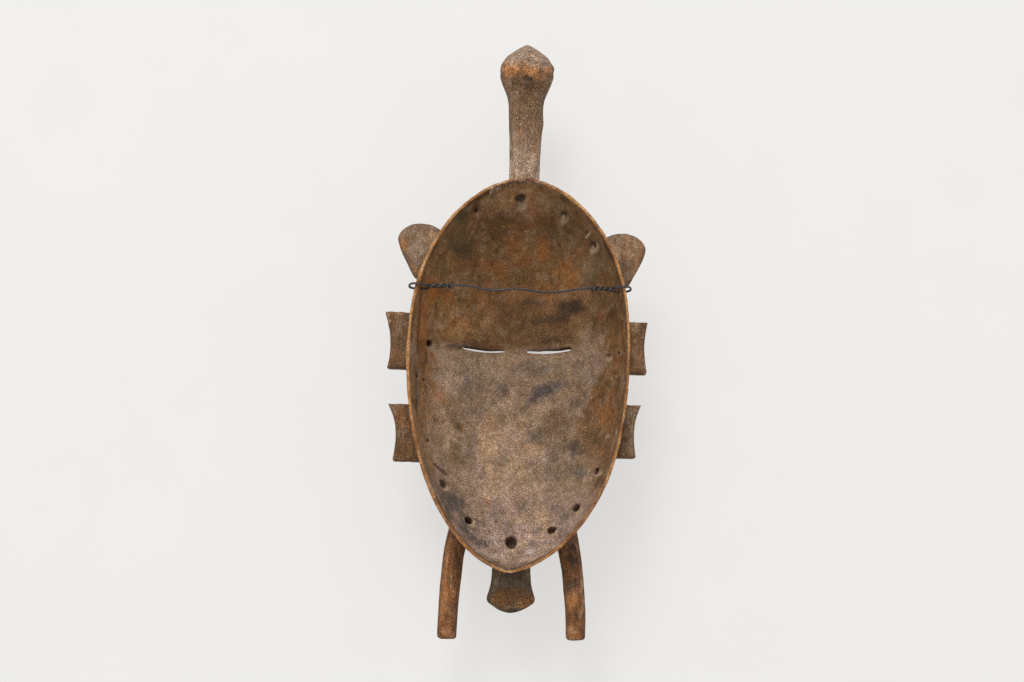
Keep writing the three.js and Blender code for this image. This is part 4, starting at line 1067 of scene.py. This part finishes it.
def hollow_colours(colours, spots, x, y, uneven, fine):
    """Large-scale colours of the hollow: brown crown, partly painted shade, and walls, paler grey brown
    floor, stains, smear, and painted light and shade.
    """
    across = (x - wander(y)) / np.maximum(half_width(y, RIM_EDGE), 1)
    tones = np.tile(np.array(colours.floor), (len(x), 1))
    tones = lay(tones, colours.mauve, 0.45 * fold(-60, -100, y + 6 * uneven))
    walls = fold(0.80, 0.92, np.abs(across) + 0.07 * fine) * fold(-92, -50, y)
    walls = np.maximum(walls, 0.8 * fold(0.72, 0.84, -across + 0.08 * fine) * fold(-60, -25, y))
    tones = lay(tones, colours.wall, walls)
    beyond = fold(-2.2, 2.2, x - along(CORNER, y) + 2.6 * fine)
    tones = lay(tones, colours.wall, beyond * fold(-66, -48, y))
    # Crown colour above the eye crease: partly painted shade of the upper hollow, which faces away from the
    # light
    edge = 9.5 + 9 * fold(33, 41, x) - 2.5 * fold(-38, -44, x)
    crown = fold(-2.5, 3.5, y - edge + 2.2 * uneven + 1.2 * fine)
    tones = lay(tones, colours.crown, crown)
    dark = np.maximum(crown, np.maximum(walls, beyond * fold(-66, -48, y)))
    tones = dapple(tones, colours, CROWN_PATCHES, spots, dark, 60)
    tones = dapple(tones, colours, FLOOR_PATCHES, spots, 1 - dark, 70)
    tones = stain(tones, colours, HOLLOW_STAINS_AND_SHADE, x, y, uneven + 0.7 * fine)
    # Painted light and shade: the areas in the table, a lift at the crown's top where the key light leaves
    # shade, and a small lift over the crown, with random unevenness
    light = areas(PAINTED_LIGHT_AREAS, x=x, y=y, aside=np.abs(x)) + 0.70 * fold(80, 92, y + 3 * uneven) + 0.10 * crown
    return tones * (1 + light + 0.06 * uneven + 0.12 * fine)[:, None]


def smear(tones, x, y, fine):
    """Lays the bluish black smear: soft stretches whose half width runs from one end's to the other's."""
    amount = np.zeros_like(x)
    for (x0, y0, half0, strength0), (x1, y1, half1, strength1) in zip(SMEAR, SMEAR[1:]):
        gap, t = to_line(x, y, (x0, y0, x1, y1))
        spread = fold(1.4, 0.2, gap / (half0 + (half1 - half0) * t) + 0.3 * fine)
        amount = np.maximum(amount, spread * (strength0 + (strength1 - strength0) * t))
    return lay(tones, SMEAR_TONE, amount)


def outer_colours(colours, spots, x, y, uneven, fine):
    """Large-scale colours of the outside: smoked shell, dusty stem and lobes, rubbed knob, dark chin tab."""
    beside = fold(0, 2, np.abs(x - wander(y)) - half_width(y)) * (np.abs(y) < 96)
    tones = np.tile(np.array(colours.smoke), (len(x), 1))
    lobes, lower = fold(*LOBES_FROM, y), fold(*LEGS_FROM, y) * fold(*LEGS_ASIDE, np.abs(x))
    tones = lay(tones, colours.tan, beside * lobes)
    tones = lay(tones, WING_TONE, beside * (1 - lobes))
    tones = lay(tones, LEG_TONE, lower)
    tab = fold(*TAB_FROM, y) * fold(*TAB_ASIDE, np.abs(x))
    tones = lay(tones, TAB_TONE, tab)
    upper = fold(*STEM_FROM, y)
    tones = lay(tones, STEM_TONE, upper)
    tones = lay(tones, STEM_FOOT_TONE, upper * fold(*STEM_FOOT_TO, y + 3.5 * uneven + 0.25 * x))
    tones = lay(tones, CAP_TONE, fold(*CAP_FROM, y + 2 * uneven))
    patched = np.clip(0.35 + 0.65 * beside * (1 - lobes) + 0.65 * lower, 0, 1) * (1 - 0.6 * tab)
    tones = dapple(tones, colours, OUTER_PATCHES, spots, patched, 80)
    tones = stain(tones, colours, OUTER_STAINS_AND_LIGHT, x, y, uneven + 0.7 * fine)
    return tones * (1 + 0.10 * uneven + 0.16 * fine)[:, None]


def outer_face(x, y, hollow):
    """1 on the shell's outer side, which is the face, and 0 on the hollow and on what stands out beside."""
    across = np.abs(x - wander(y))
    return (1 - hollow) * fold(0.5, 2.5, half_width(y) - across) * fold(94, 88, y) * fold(-113, -107, y)


def hole_shades(x, y):
    """For each place in plan: how far down a hole it lies, for painted shade, and how far on a pale lower
    lip, partly rubbed and partly painted light.
    """
    inside, pale_lit_lip = np.zeros_like(x), np.zeros_like(x)
    for px, py, size, deep in HOLES:
        reach = size / 2
        shallow = fold(3.4, 1.6, deep)
        mouth = fold(1.2, 0.75, np.hypot(x - px, y - py) / reach)
        aside = np.hypot(x - px - 0.5 * reach, y - py + 0.75 * reach)
        pale = fold(1.4, 0.7, aside / reach) * (1 - mouth * (1 - shallow))
        inside = np.maximum(inside, mouth * (1 - 0.6 * shallow * fold(1.5, 0.5, aside / reach)))
        pale_lit_lip = np.maximum(pale_lit_lip, pale)
    return inside, pale_lit_lip


def paint_wood(mesh, colours):
    """Stores the wood's large-scale colour on the mesh, and where rim, hollow, dust and wear lie."""
    points, directions = coordinates(mesh), coordinates(mesh, "normal")
    x, y, depth = own_frame(points)
    spots = points / MM
    uneven, fine = layered(spots, PAINT_UNEVEN), layered(spots, PAINT_FINE)
    hollow = on_hollow(x - wander(y), y, depth)
    bent_x, bent_y = x + layered(spots, PAINT_BENT_X), y + layered(spots, PAINT_BENT_Y)
    tones = outer_colours(colours, spots, bent_x, bent_y, uneven, fine)
    inner = smear(hollow_colours(colours, spots, bent_x, bent_y, uneven, fine), x, y, fine)
    tones += (inner - tones) * hollow[:, None]
    inside, pale_lit_lip = hole_shades(x, y)
    beyond = depth - hollow_depth(x - wander(y), y)
    near = (np.abs(x) < HALF_WIDTH) * (y < 97) * (y > -112) * fold(9, 7, beyond)
    # Painted shade down the holes, and pale lower lips, partly rubbed and partly painted light on the side
    # that faces the key light
    tones = lay(tones, HOLE_SHADE_TONE, 0.7 * inside * near)
    tones = lay(tones, RUBBED_LIT_LIP_TONE, 0.8 * pale_lit_lip * near * fold(4.5, 3, beyond) * (depth > 4))
    face = outer_face(x, y, hollow)
    raised = depth - face_depth(x - wander(y), y)
    crests = fold(0.6, 1.5, raised) * (1 - 0.5 * fold(2.5, 6, raised))
    tones = lay(tones, CREST_TONE, 0.5 * face * crests * (1 + 0.5 * fine))
    tones = lay(tones, colours.soot, 0.5 * face * fold(0.1, 0.4, raised) * fold(1.1, 0.6, raised))
    plates = (np.abs(x - wander(y)) > half_width(y)) | (y < -114)
    edges = plates * (y < 90) * fold(0.8, 0.35, np.abs(directions[:, 2]))
    tones = lay(tones, colours.umber, 0.5 * edges)
    bend = bend_of(mesh, points, directions)
    store(mesh, "tint", "FLOAT_COLOR", "color", np.concatenate([tones, np.ones((len(x), 1))], 1))
    chin = fold(-84, -104, y) * hollow
    shaded = np.exp(-((x - 2) / 13) ** 2) * (y > 90) + 0.55 * fold(-55, -75, y) * fold(18, 30, np.abs(x + 4))
    masks = {
        "inwards": rim_distance(x, y, depth),
        "hollow": hollow,
        "dust": np.clip(chin + 0.35 * hollow * fold(20, -10, y) + 0.6 * (y > 96) + 0.3 * (1 - hollow), 0, 1),
        "rim_shade": np.clip(shaded, 0, 1),
        "grainy": np.clip(1 - 0.8 * hollow * fold(0.9, 0.7, np.abs(x) / HALF_WIDTH), 0, 1),
        "wear": fold(0.03, 0.14, bend) * (1 - hollow),
        "dirt": fold(0.02, 0.11, -bend) * (1 - 0.6 * hollow),
        "rubbed": face,
    }
    for name, values in masks.items():
        store(mesh, name, "FLOAT", "value", values)


def wire_end(side, y, depth, out, twist_from, twist_to, turns):
    """One end of the wire: over the rim, back through the wall, and the two strands wound round each other.

    Both strands follow helices of opposite phase about the span's middle line; the tail opens out at its end.
    """
    rim = float(half_width(np.array(y)))
    lines = {"inside": rim - WIRE_INSIDE, "rim": rim, "outermost": out}
    levels = {"edge": 0, "hole": depth}
    bends = np.array([(lines[line] + outwards, y + up, levels[level] + down)
                      for line, outwards, up, level, down in WIRE_BENDS]) * (side, 1, 1)
    t = np.linspace(0, 1, round(8 * turns) + 1)
    x = side * (twist_from - TWIST_LEAD + (twist_to - twist_from + TWIST_LEAD) * t)
    turn = 2 * math.pi * turns * t * side
    middle_y, middle_depth = along(WIRE_SPAN[:, :2], x), along(WIRE_SPAN[:, ::2], x)
    reach = TWIST_RADIUS + TWIST_OPENING * fold(0.8, 1.0, t)
    tail = np.stack([x, middle_y - side * reach * np.cos(turn),
                     middle_depth + reach * np.sin(turn) * side], -1)
    reach = TWIST_RADIUS * fold(1.0, 0.85, t)
    strand = np.stack([x, middle_y + side * reach * np.cos(turn),
                       middle_depth - reach * np.sin(turn) * side], -1)
    return np.concatenate([strand[::-1], bends, tail])


def draw_wire(settings):
    """The whole wire as one round tube: left end, span, right end."""
    left, right = (wire_end(*end) for end in WIRE_ENDS)
    free = WIRE_SPAN[(WIRE_SPAN[:, 0] > left[0, 0] + 2) & (WIRE_SPAN[:, 0] < right[0, 0] - 2)]
    path = spline(np.concatenate([left[::-1], free, right]), 1400)
    wire = mesh_from("wire", loft(tube(path, settings.radius / MM, (0, 1, 0), 12)))
    move_points(wire.data, np.clip(coordinates(wire.data), WIRE_LOW, WIRE_HIGH))
    wire.data.shade_smooth()
    return wire


def feed(tree, node, values):
    """Gives a node's sockets plain values or links."""
    for key, value in values.items():
        if isinstance(value, bpy.types.NodeSocket):
            tree.links.new(value, node.inputs[key])
        else:
            node.inputs[key].default_value = value


def put(tree, kind, values=None, **settings):
    """Adds a node, with its settings, and plain values or links for its sockets."""
    made = tree.nodes.new(kind)
    for name, value in settings.items():
        setattr(made, name, value)
    feed(tree, made, values or {})
    return made


def bump(tree, height, strength, distance):
    """The shading direction that a small relief gives."""
    values = {"Height": height, "Strength": strength, "Distance": distance}
    return put(tree, "ShaderNodeBump", values).outputs[0]


def blend(tree, amount, first, second, mode="MIX"):
    """Mixes two colours by an amount."""
    values = {0: amount, 6: first, 7: second}
    return put(tree, "ShaderNodeMix", values, data_type="RGBA", blend_type=mode, clamp_factor=True).outputs[2]


def compute(tree, operation, first, second, clamp=False):
    """One arithmetic step on two numbers."""
    return put(tree, "ShaderNodeMath", {0: first, 1: second}, operation=operation, use_clamp=clamp).outputs[0]


def times(tree, first, second):
    """Product of two numbers."""
    return compute(tree, "MULTIPLY", first, second)


def weighted(tree, *terms):
    """Sum of numbers, each times its weight, added to the first plain number."""
    total = terms[0]
    for value, weight in terms[1:]:
        total = compute(tree, "ADD", times(tree, value, weight), total)
    return total


def step_up(tree, value, low, high, to_low=0.0, to_high=1.0):
    """Maps a number smoothly from one range to another."""
    values = {0: value, 1: low, 2: high, 3: to_low, 4: to_high}
    return put(tree, "ShaderNodeMapRange", values, interpolation_type="SMOOTHSTEP").outputs[0]


def read(tree, name):
    """A number painted on the mesh."""
    return put(tree, "ShaderNodeAttribute", attribute_name=name, attribute_type="GEOMETRY").outputs["Fac"]


def colour(value):
    """A colour property as four numbers."""
    return (*value, 1.0)


def start_group(name, inputs, outputs):
    """An empty shader group with named sockets, and its input and output nodes."""
    group = bpy.data.node_groups.new(name, "ShaderNodeTree")
    for label, kind, value in inputs:
        socket = group.interface.new_socket(name=label, in_out="INPUT", socket_type=kind)
        if value is not None:
            socket.default_value = value
    for label, kind in outputs:
        group.interface.new_socket(name=label, in_out="OUTPUT", socket_type=kind)
    return group, group.nodes.new("NodeGroupInput"), group.nodes.new("NodeGroupOutput")


NUMBER, DIRECTION = "NodeSocketFloat", "NodeSocketVector"

# Fine tones: name, shift of the noise, its scale, the range that is read, and what its lower end gives
SPECKLES = (
    ("Grains", (0, 0, 0), 1.0, 0.28, 0.72, -1), ("Dots", (0.2, 0.1, 0.3), 1.9, 0.32, 0.68, -1),
    ("Warmth", (0.31, 0.17, 0.05), 0.35, 0.3, 0.7, 0), ("Pits", (0.13, 0.41, 0.23), 0.45, 0.60, 0.72, 0),
    ("Flecks", (0.7, 0.2, 0.6), 0.6, 0.60, 0.70, 0), ("Flakes", (0.5, 0.9, 0.1), 0.22, 0.54, 0.62, 0),
    ("Rubs", (0.05, 0.6, 0.8), 0.26, 0.54, 0.64, 0),
)


def mottle_group():
    """Uneven tone at three sizes: broad clouds, blots and fine specks, each from -1 to 1."""
    group, inside, outside = start_group(
        "Mottle", [("Vector", DIRECTION, None), ("Scale", NUMBER, 1.0)],
        [("Clouds", NUMBER), ("Blots", NUMBER), ("Specks", NUMBER)])
    for label, size, detail in (("Clouds", 38.0, 3.0), ("Blots", 170.0, 4.0), ("Specks", 900.0, 2.0)):
        scale = times(group, inside.outputs["Scale"], size)
        tone = put(group, "ShaderNodeTexNoise", {"Vector": inside.outputs["Vector"], "Scale": scale,
                                                 "Detail": detail, "Roughness": 0.6})
        group.links.new(step_up(group, tone.outputs["Fac"], 0.3, 0.7, -1, 1), outside.inputs[label])


def speckle_group():
    """Fine grain of old handled wood, one tone for each of the speckles in the table."""
    group, inside, outside = start_group(
        "Speckle", [("Vector", DIRECTION, None), ("Scale", NUMBER, 1300.0)],
        [(label, NUMBER) for label, *_ in SPECKLES])
    where, scale = inside.outputs["Vector"], inside.outputs["Scale"]
    for label, shift, size, low, high, to_low in SPECKLES:
        moved = put(group, "ShaderNodeVectorMath", {0: where, 1: shift}, operation="ADD").outputs[0]
        values = {"Vector": moved, "Scale": times(group, scale, size),
                  "Detail": 3.0 if size > 0.3 else 5.0, "Roughness": 0.65}
        tone = put(group, "ShaderNodeTexNoise", values).outputs["Fac"]
        group.links.new(step_up(group, tone, low, high, to_low), outside.inputs[label])


def fibre_group():
    """Wood fibres that run along Y: noise drawn out lengthways, fine and coarse."""
    group, inside, outside = start_group(
        "Fibre", [("Vector", DIRECTION, None), ("Stretch", NUMBER, 0.07)],
        [("Fine", NUMBER), ("Coarse", NUMBER)])
    draw = put(group, "ShaderNodeCombineXYZ", {0: 1.0, 1: inside.outputs["Stretch"], 2: 1.0})
    drawn = put(group, "ShaderNodeVectorMath", {0: inside.outputs["Vector"], 1: draw.outputs[0]},
                operation="MULTIPLY")
    for label, size in (("Fine", 1500.0), ("Coarse", 420.0)):
        tone = put(group, "ShaderNodeTexNoise", {"Vector": drawn.outputs[0], "Scale": size, "Detail": 3.0,
                                                 "Roughness": 0.55, "Distortion": 0.15})
        group.links.new(step_up(group, tone.outputs["Fac"], 0.3, 0.7, -1, 1), outside.inputs[label])


def stroke_group():
    """A thin line between two places seen from above: 1 on it, fading to 0 at its half width."""
    group, inside, outside = start_group(
        "Stroke", [("Vector", DIRECTION, None), ("From", DIRECTION, None), ("To", DIRECTION, None),
                   ("Half Width", NUMBER, 0.0004)], [("Mask", NUMBER)])

    def step(operation, first, second):
        """One step on two directions, with their heights left out at the start."""
        return put(group, "ShaderNodeVectorMath", {0: first, 1: second}, operation=operation).outputs

    flat = (1, 1, 0)
    start = step("MULTIPLY", inside.outputs["From"], flat)[0]
    way = step("SUBTRACT", step("MULTIPLY", inside.outputs["To"], flat)[0], start)[0]
    here = step("SUBTRACT", step("MULTIPLY", inside.outputs["Vector"], flat)[0], start)[0]
    reach, whole = (step("DOT_PRODUCT", first, way)["Value"] for first in (here, way))
    part = compute(group, "DIVIDE", reach, whole, True)
    nearest = put(group, "ShaderNodeVectorMath", {0: way, "Scale": part}, operation="SCALE").outputs[0]
    gap = step("DISTANCE", here, nearest)["Value"]
    ratio = compute(group, "DIVIDE", gap, inside.outputs["Half Width"])
    group.links.new(step_up(group, ratio, 1.2, 0.3), outside.inputs["Mask"])


def use_group(tree, name, values):
    """Places a shared group with its own values."""
    return put(tree, "ShaderNodeGroup", values, node_tree=bpy.data.node_groups[name]).outputs


def new_material(name, scale):
    """A node material, its tree and principled shader, the place on the object and its uneven tones."""
    material = bpy.data.materials.new(name)
    material.use_nodes = True
    tree = material.node_tree
    where = put(tree, "ShaderNodeTexCoord").outputs["Object"]
    tone = use_group(tree, "Mottle", {"Vector": where, "Scale": scale})
    return material, tree, tree.nodes["Principled BSDF"], where, tone


# Thin marks in the hollow, some of them painted shadow: colour, x, y, x, y, half width, strength
HOLLOW_MARKS_AND_SHADOWS = (
    ("rust", -17.9, -78.0, -12.8, -82.1, 0.55, 0.8), ("rust", -15.1, -79.1, -11.2, -80.1, 0.45, 0.8),
    ("rust", -30.2, -36.7, -29.4, -40.8, 0.8, 0.8), ("soot", -21.1, -90.5, -18.3, -91.5, 0.5, 0.6),
    ("sand", -17.5, 92.0, -24.6, 79.9, 0.4, 0.45), ("sand", -24.6, 79.9, -30.2, 66.4, 0.35, 0.35),
    ("sand", 42.4, -10.2, 39.7, -14.0, 0.6, 0.4), ("ash", -55.6, -16.3, -55.2, -26.6, 0.6, 0.7),
    ("ash", -54.6, -50.8, -48.3, -63.3, 0.7, 0.5), ("ash", -57.2, 30.0, -57.8, 2.0, 0.8, 0.5),
    ("soot", -55.4, 32.0, -56.2, 0.0, 0.8, 0.5), ("soot", -56.6, -8.0, -55.0, -34.0, 0.8, 0.5),
    ("soot", -44.4, -61.2, -37.6, -66.2, 0.8, 0.7), ("chalk", -5.2, -111.0, -6.4, -109.6, 0.6, 0.6),
    ("chalk", 37.5, 70.6, 38.2, 71.2, 0.8, 1.0), ("rust", 6.7, 6.4, 32.4, 8.6, 0.6, 0.7),
    # The soot strokes along the eye slits and the groove left of them are painted shadow under the slits'
    # upper edges
    ("soot", -39.5, 8.6, -29.0, 10.2, 1.1, 0.6), ("soot", -30.0, 10.2, -7.0, 8.9, 0.6, 0.45),
    ("soot", 7.0, 9.4, 32.0, 11.8, 0.7, 0.5),
)


# Scratches across the chipped back edge: colour, x, y, x, y, half width, strength
RIM_MARKS = (
    ("soot", -20.5, 89.8, -6.0, 96.0, 1.2, 0.6), ("chalk", -18.6, 89.6, -16.8, 94.8, 0.55, 0.9),
    ("sand", -16.2, 90.8, -17.4, 94.0, 0.5, 0.9), ("chalk", -14.8, 91.2, -13.4, 95.8, 0.6, 0.85),
    ("sand", -12.9, 92.0, -12.2, 96.4, 0.5, 0.8), ("sand", -9.9, 93.6, -9.0, 97.2, 0.45, 0.7),
    ("chalk", -7.6, 95.4, -4.4, 97.4, 0.45, 0.6), ("soot", -3.4, 96.6, 2.8, 97.6, 0.6, 0.6),
)


def strokes(tree, where, base, colours, marks, masks):
    """Draws thin marks over a colour, kept to where a mask lets them."""
    for name, x0, y0, x1, y1, half, strength in marks:
        ends = place(np.array([x0, x1]), np.array([y0, y1]), 0.0)
        line = use_group(tree, "Stroke", {"Vector": where, "From": tuple(ends[0]), "To": tuple(ends[1]),
                                          "Half Width": half * MM})["Mask"]
        amount = times(tree, times(tree, line, masks), strength)
        base = blend(tree, amount, base, colour(getattr(colours, name)))
    return base


def aged_wood(colours):
    """Smoked and handled wood: painted tones, fine grains and fibres, bare rim, worn ridges, grime, marks."""
    material, tree, shader, where, tone = new_material("aged_wood", 1.0)
    grain = use_group(tree, "Fibre", {"Vector": where, "Stretch": 0.07})
    speckle = use_group(tree, "Speckle", {"Vector": where, "Scale": 1300.0})
    blots, hollow = tone["Blots"], read(tree, "hollow")
    base = put(tree, "ShaderNodeAttribute", attribute_name="tint", attribute_type="GEOMETRY").outputs["Color"]
    broken = weighted(tree, read(tree, "wear"), (blots, 0.3), (speckle["Grains"], 0.25))
    base = blend(tree, times(tree, step_up(tree, broken, 0.3, 1.0), RIDGE_AMOUNT), base, colour(RIDGE_TONE))
    base = blend(tree, times(tree, read(tree, "dirt"), DIRT_AMOUNT), base, colour(colours.soot))
    base = strokes(tree, where, base, colours, HOLLOW_MARKS_AND_SHADOWS, hollow)
    height = put(tree, "ShaderNodeSeparateXYZ", {0: where}).outputs["Z"]
    low = compute(tree, "ADD", height, times(tree, blots, 0.0003))
    top = step_up(tree, low, (RIM_HEIGHT - 1.7) * MM, (RIM_HEIGHT - 1.1) * MM)
    inwards = weighted(tree, read(tree, "inwards"), (blots, 0.25), (speckle["Grains"], 0.12))
    rim = times(tree, step_up(tree, inwards, 1.85, 1.4), top)
    patchy = weighted(tree, tone["Clouds"], (blots, 0.8))
    worn = blend(tree, step_up(tree, patchy, -1.4, 0.6), colour(BARE_TONE), colour(colours.amber))
    worn = blend(tree, times(tree, read(tree, "rim_shade"), RIM_SHADE_AMOUNT), worn, colour(RIM_SHADE_TONE))
    base = blend(tree, times(tree, rim, RIM_AMOUNT), base, worn)
    near_top = step_up(tree, height, (RIM_HEIGHT - 8) * MM, (RIM_HEIGHT - 6) * MM)
    open_side = times(tree, compute(tree, "MAXIMUM", hollow, rim), near_top)
    base = strokes(tree, where, base, colours, RIM_MARKS, open_side)
    base = blend(tree, times(tree, speckle["Pits"], PIT_AMOUNT), base, colour(colours.umber))
    for label, amount, tint in (("Flakes", 0.32, FLAKE_TINT), ("Rubs", 0.5, RUB_TINT)):
        base = blend(tree, times(tree, speckle[label], amount), base, colour(tint), "MULTIPLY")
    dust = times(tree, speckle["Flecks"], read(tree, "dust"))
    base = blend(tree, times(tree, dust, DUST_AMOUNT), base, colour(colours.chalk))
    warm = blend(tree, speckle["Warmth"], colour(COOL_TINT), colour(WARM_TINT))
    base = blend(tree, 1.0, base, warm, "MULTIPLY")
    fibres = weighted(tree, 0.0, (grain["Fine"], 0.22), (grain["Coarse"], 0.20))
    rubbed = read(tree, "rubbed")
    crisp = weighted(tree, 0.90, (read(tree, "dust"), 0.85), (rubbed, -0.75))
    soft = weighted(tree, 0.62, (rubbed, -0.32))
    light = weighted(tree, -0.07, (read(tree, "dust"), -0.19), (speckle["Grains"], soft),
                     (speckle["Dots"], crisp), (blots, 0.26), (read(tree, "grainy"), fibres))
    channels = [compute(tree, "POWER", 2.0, times(tree, light, part)) for part in GREY_LIGHT]
    tint = put(tree, "ShaderNodeCombineColor", dict(enumerate(channels))).outputs[0]
    base = blend(tree, 1.0, base, tint, "MULTIPLY")
    dull = step_up(tree, weighted(tree, blots, (rim, -0.8)), -1.2, 1.0, 0.58, 0.82)
    lift = weighted(tree, 0.0, (speckle["Grains"], 0.6), (speckle["Dots"], 0.4), (grain["Fine"], 0.25),
                    (blots, 0.6), (speckle["Pits"], -0.9))
    feed(tree, shader, {"Base Color": base, "Roughness": dull, "Specular IOR Level": 0.13,
                        "Normal": bump(tree, lift, 0.7, 0.25 * MM)})
    return material


def dark_wire(settings):
    """Dull dark steel with faint rust blots."""
    material, tree, shader, _, tone = new_material("dark_wire", 2.0)
    patch = step_up(tree, tone["Blots"], 0.1, 1.0, 0.0, 0.5)
    base = blend(tree, patch, colour(settings.colour), colour(WIRE_RUST))
    feed(tree, shader, {"Base Color": base, "Roughness": step_up(tree, tone["Blots"], -1, 1, 0.34, 0.6),
                        "Metallic": 0.75, "Normal": bump(tree, tone["Specks"], 0.3, 0.1 * MM)})
    return material


def pale_floor(settings):
    """Plain matt pale floor that gives back some light of its own, as a lit table does."""
    material, tree, shader, _, tone = new_material("pale_floor", 0.4)
    darker = [0.97 * value for value in settings.floor]
    base = blend(tree, step_up(tree, tone["Clouds"], -1, 1), colour(settings.floor), colour(darker))
    feed(tree, shader, {"Base Color": base, "Roughness": 0.9, "Specular IOR Level": 0.1,
                        "Emission Color": colour(GLOW_TINT), "Emission Strength": settings.glow})
    return material


def camera_axes():
    """The mask's own axes seen from the camera: it leans back, is turned a little and rolled a little."""
    lean = np.array([0, math.cos(LEAN), math.sin(LEAN)])
    facing = np.array([0, math.sin(LEAN), -math.cos(LEAN)])
    across = np.array([1.0, 0, 0])
    side = math.cos(YAW) * across - math.sin(YAW) * facing
    out = math.cos(YAW) * facing + math.sin(YAW) * across
    cos, sin = math.cos(ROLL), math.sin(ROLL)
    roll = np.array([[cos, sin, 0], [-sin, cos, 0], [0, 0, 1]])
    return roll @ np.array([side, lean, out]).T


def set_camera():
    """Puts the camera where the photograph was taken from, looking down on the mask as it lies."""
    focal = LENS / SENSOR * PHOTO_WIDTH
    right = (AIM_PIXEL[0] - PHOTO_WIDTH / 2) / focal
    up = -(AIM_PIXEL[1] - PHOTO_HEIGHT / 2) / focal
    axes = camera_axes()
    aim = np.array([right, up, 1.0]) * CAMERA_DISTANCE
    x, y, out = -axes.T @ aim
    position = place(x + AIM_X, y + AIM_Y, -out)
    data = bpy.data.cameras.new("camera")
    data.lens, data.sensor_width = LENS, SENSOR
    bpy.context.scene.camera = add_object("camera", data, (axes[0], axes[1], -axes[2]), position)


def soft_light(name, position, target, size, power, tint):
    """A square area light turned to a target."""
    data = bpy.data.lights.new(name, "AREA")
    data.shape, data.size, data.energy, data.color = "SQUARE", size, power, tint
    back = np.array(position, float) - np.array(target, float)
    back /= np.linalg.norm(back)
    side = np.cross((0, 0, 1), back)
    side /= np.linalg.norm(side)
    add_object(name, data, (side, np.cross(back, side), back), position)


class MASK_OT_stage(bpy.types.Operator):
    """Sets the pale floor, the soft light and the camera"""

    bl_idname = "mask.stage"
    bl_label = "Set Stage"

    def execute(self, context):
        settings = context.scene.stage_settings
        corners = [(FLOOR_HALF * x, FLOOR_HALF * y, 0) for x, y in ((-1, -1), (1, -1), (1, 1), (-1, 1))]
        mesh = bpy.data.meshes.new("floor")
        mesh.from_pydata(corners, [], [(0, 1, 2, 3)])
        floor = add_object("floor", mesh)
        floor.data.materials.append(pale_floor(settings))
        world = bpy.data.worlds.new("studio")
        world.use_nodes = True
        sky = world.node_tree.nodes["Background"]
        sky.inputs["Color"].default_value = colour(SKY_TINT)
        sky.inputs["Strength"].default_value = settings.sky
        context.scene.world = world
        soft_light("key", KEY_PLACE, KEY_AIM, KEY_SIDE, settings.key, KEY_TINT)
        context.scene.view_settings.view_transform = "Standard"
        set_camera()
        return {"FINISHED"}


class MASK_OT_carving(bpy.types.Operator):
    """Carves the mask and finishes its wood"""

    bl_idname = "mask.carving"
    bl_label = "Carve Mask"

    def execute(self, context):
        mask = carve_mask(context.scene.mask_sizes)
        paint_wood(mask.data, context.scene.wood_colours)
        mask.data.shade_smooth()
        mask.data.set_sharp_from_angle(angle=SHARP_ANGLE)
        mask.data.materials.clear()
        mask.data.materials.append(aged_wood(context.scene.wood_colours))
        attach(mask, "root")
        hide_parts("mask")
        return {"FINISHED"}


class MASK_OT_wire(bpy.types.Operator):
    """Draws the hanging wire"""

    bl_idname = "mask.wire"
    bl_label = "Draw Wire"

    def execute(self, context):
        wire = draw_wire(context.scene.wire_settings)
        wire.data.materials.append(dark_wire(context.scene.wire_settings))
        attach(wire, "root")
        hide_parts("hanging_wire")
        return {"FINISHED"}


class MASK_PT_panel(bpy.types.Panel):
    """Lists the steps and their settings in the sidebar"""

    bl_idname = "MASK_PT_panel"
    bl_label = "Kpelie Mask"
    bl_space_type = "VIEW_3D"
    bl_region_type = "UI"
    bl_category = "Mask"

    def draw(self, context):
        scene = context.scene
        for step, settings in (("mask.stage", scene.stage_settings), ("mask.carving", scene.mask_sizes),
                               ("mask.wire", scene.wire_settings)):
            self.layout.operator(step)
            for name in settings.__annotations__:
                self.layout.prop(settings, name)
        for name in scene.wood_colours.__annotations__:
            self.layout.prop(scene.wood_colours, name)


CLASSES = (MaskSizes, WoodColours, WireSettings, StageSettings, MASK_OT_stage, MASK_OT_carving, MASK_OT_wire,
           MASK_PT_panel)
SETTINGS = {"mask_sizes": MaskSizes, "wood_colours": WoodColours, "wire_settings": WireSettings,
            "stage_settings": StageSettings}


def register():
    """Registers the classes and hangs their settings on the scene."""
    for kind in CLASSES:
        bpy.utils.register_class(kind)
    for name, kind in SETTINGS.items():
        setattr(bpy.types.Scene, name, PointerProperty(type=kind))


def unregister():
    """Takes everything off again."""
    for name in SETTINGS:
        delattr(bpy.types.Scene, name)
    for kind in reversed(CLASSES):
        bpy.utils.unregister_class(kind)


def main():
    """Builds the mask step by step."""
    register()
    for group in (mottle_group, speckle_group, fibre_group, stroke_group):
        group()
    bpy.ops.mask.stage()
    bpy.ops.mask.carving()
    bpy.ops.mask.wire()


if __name__ == "__main__":
    main()
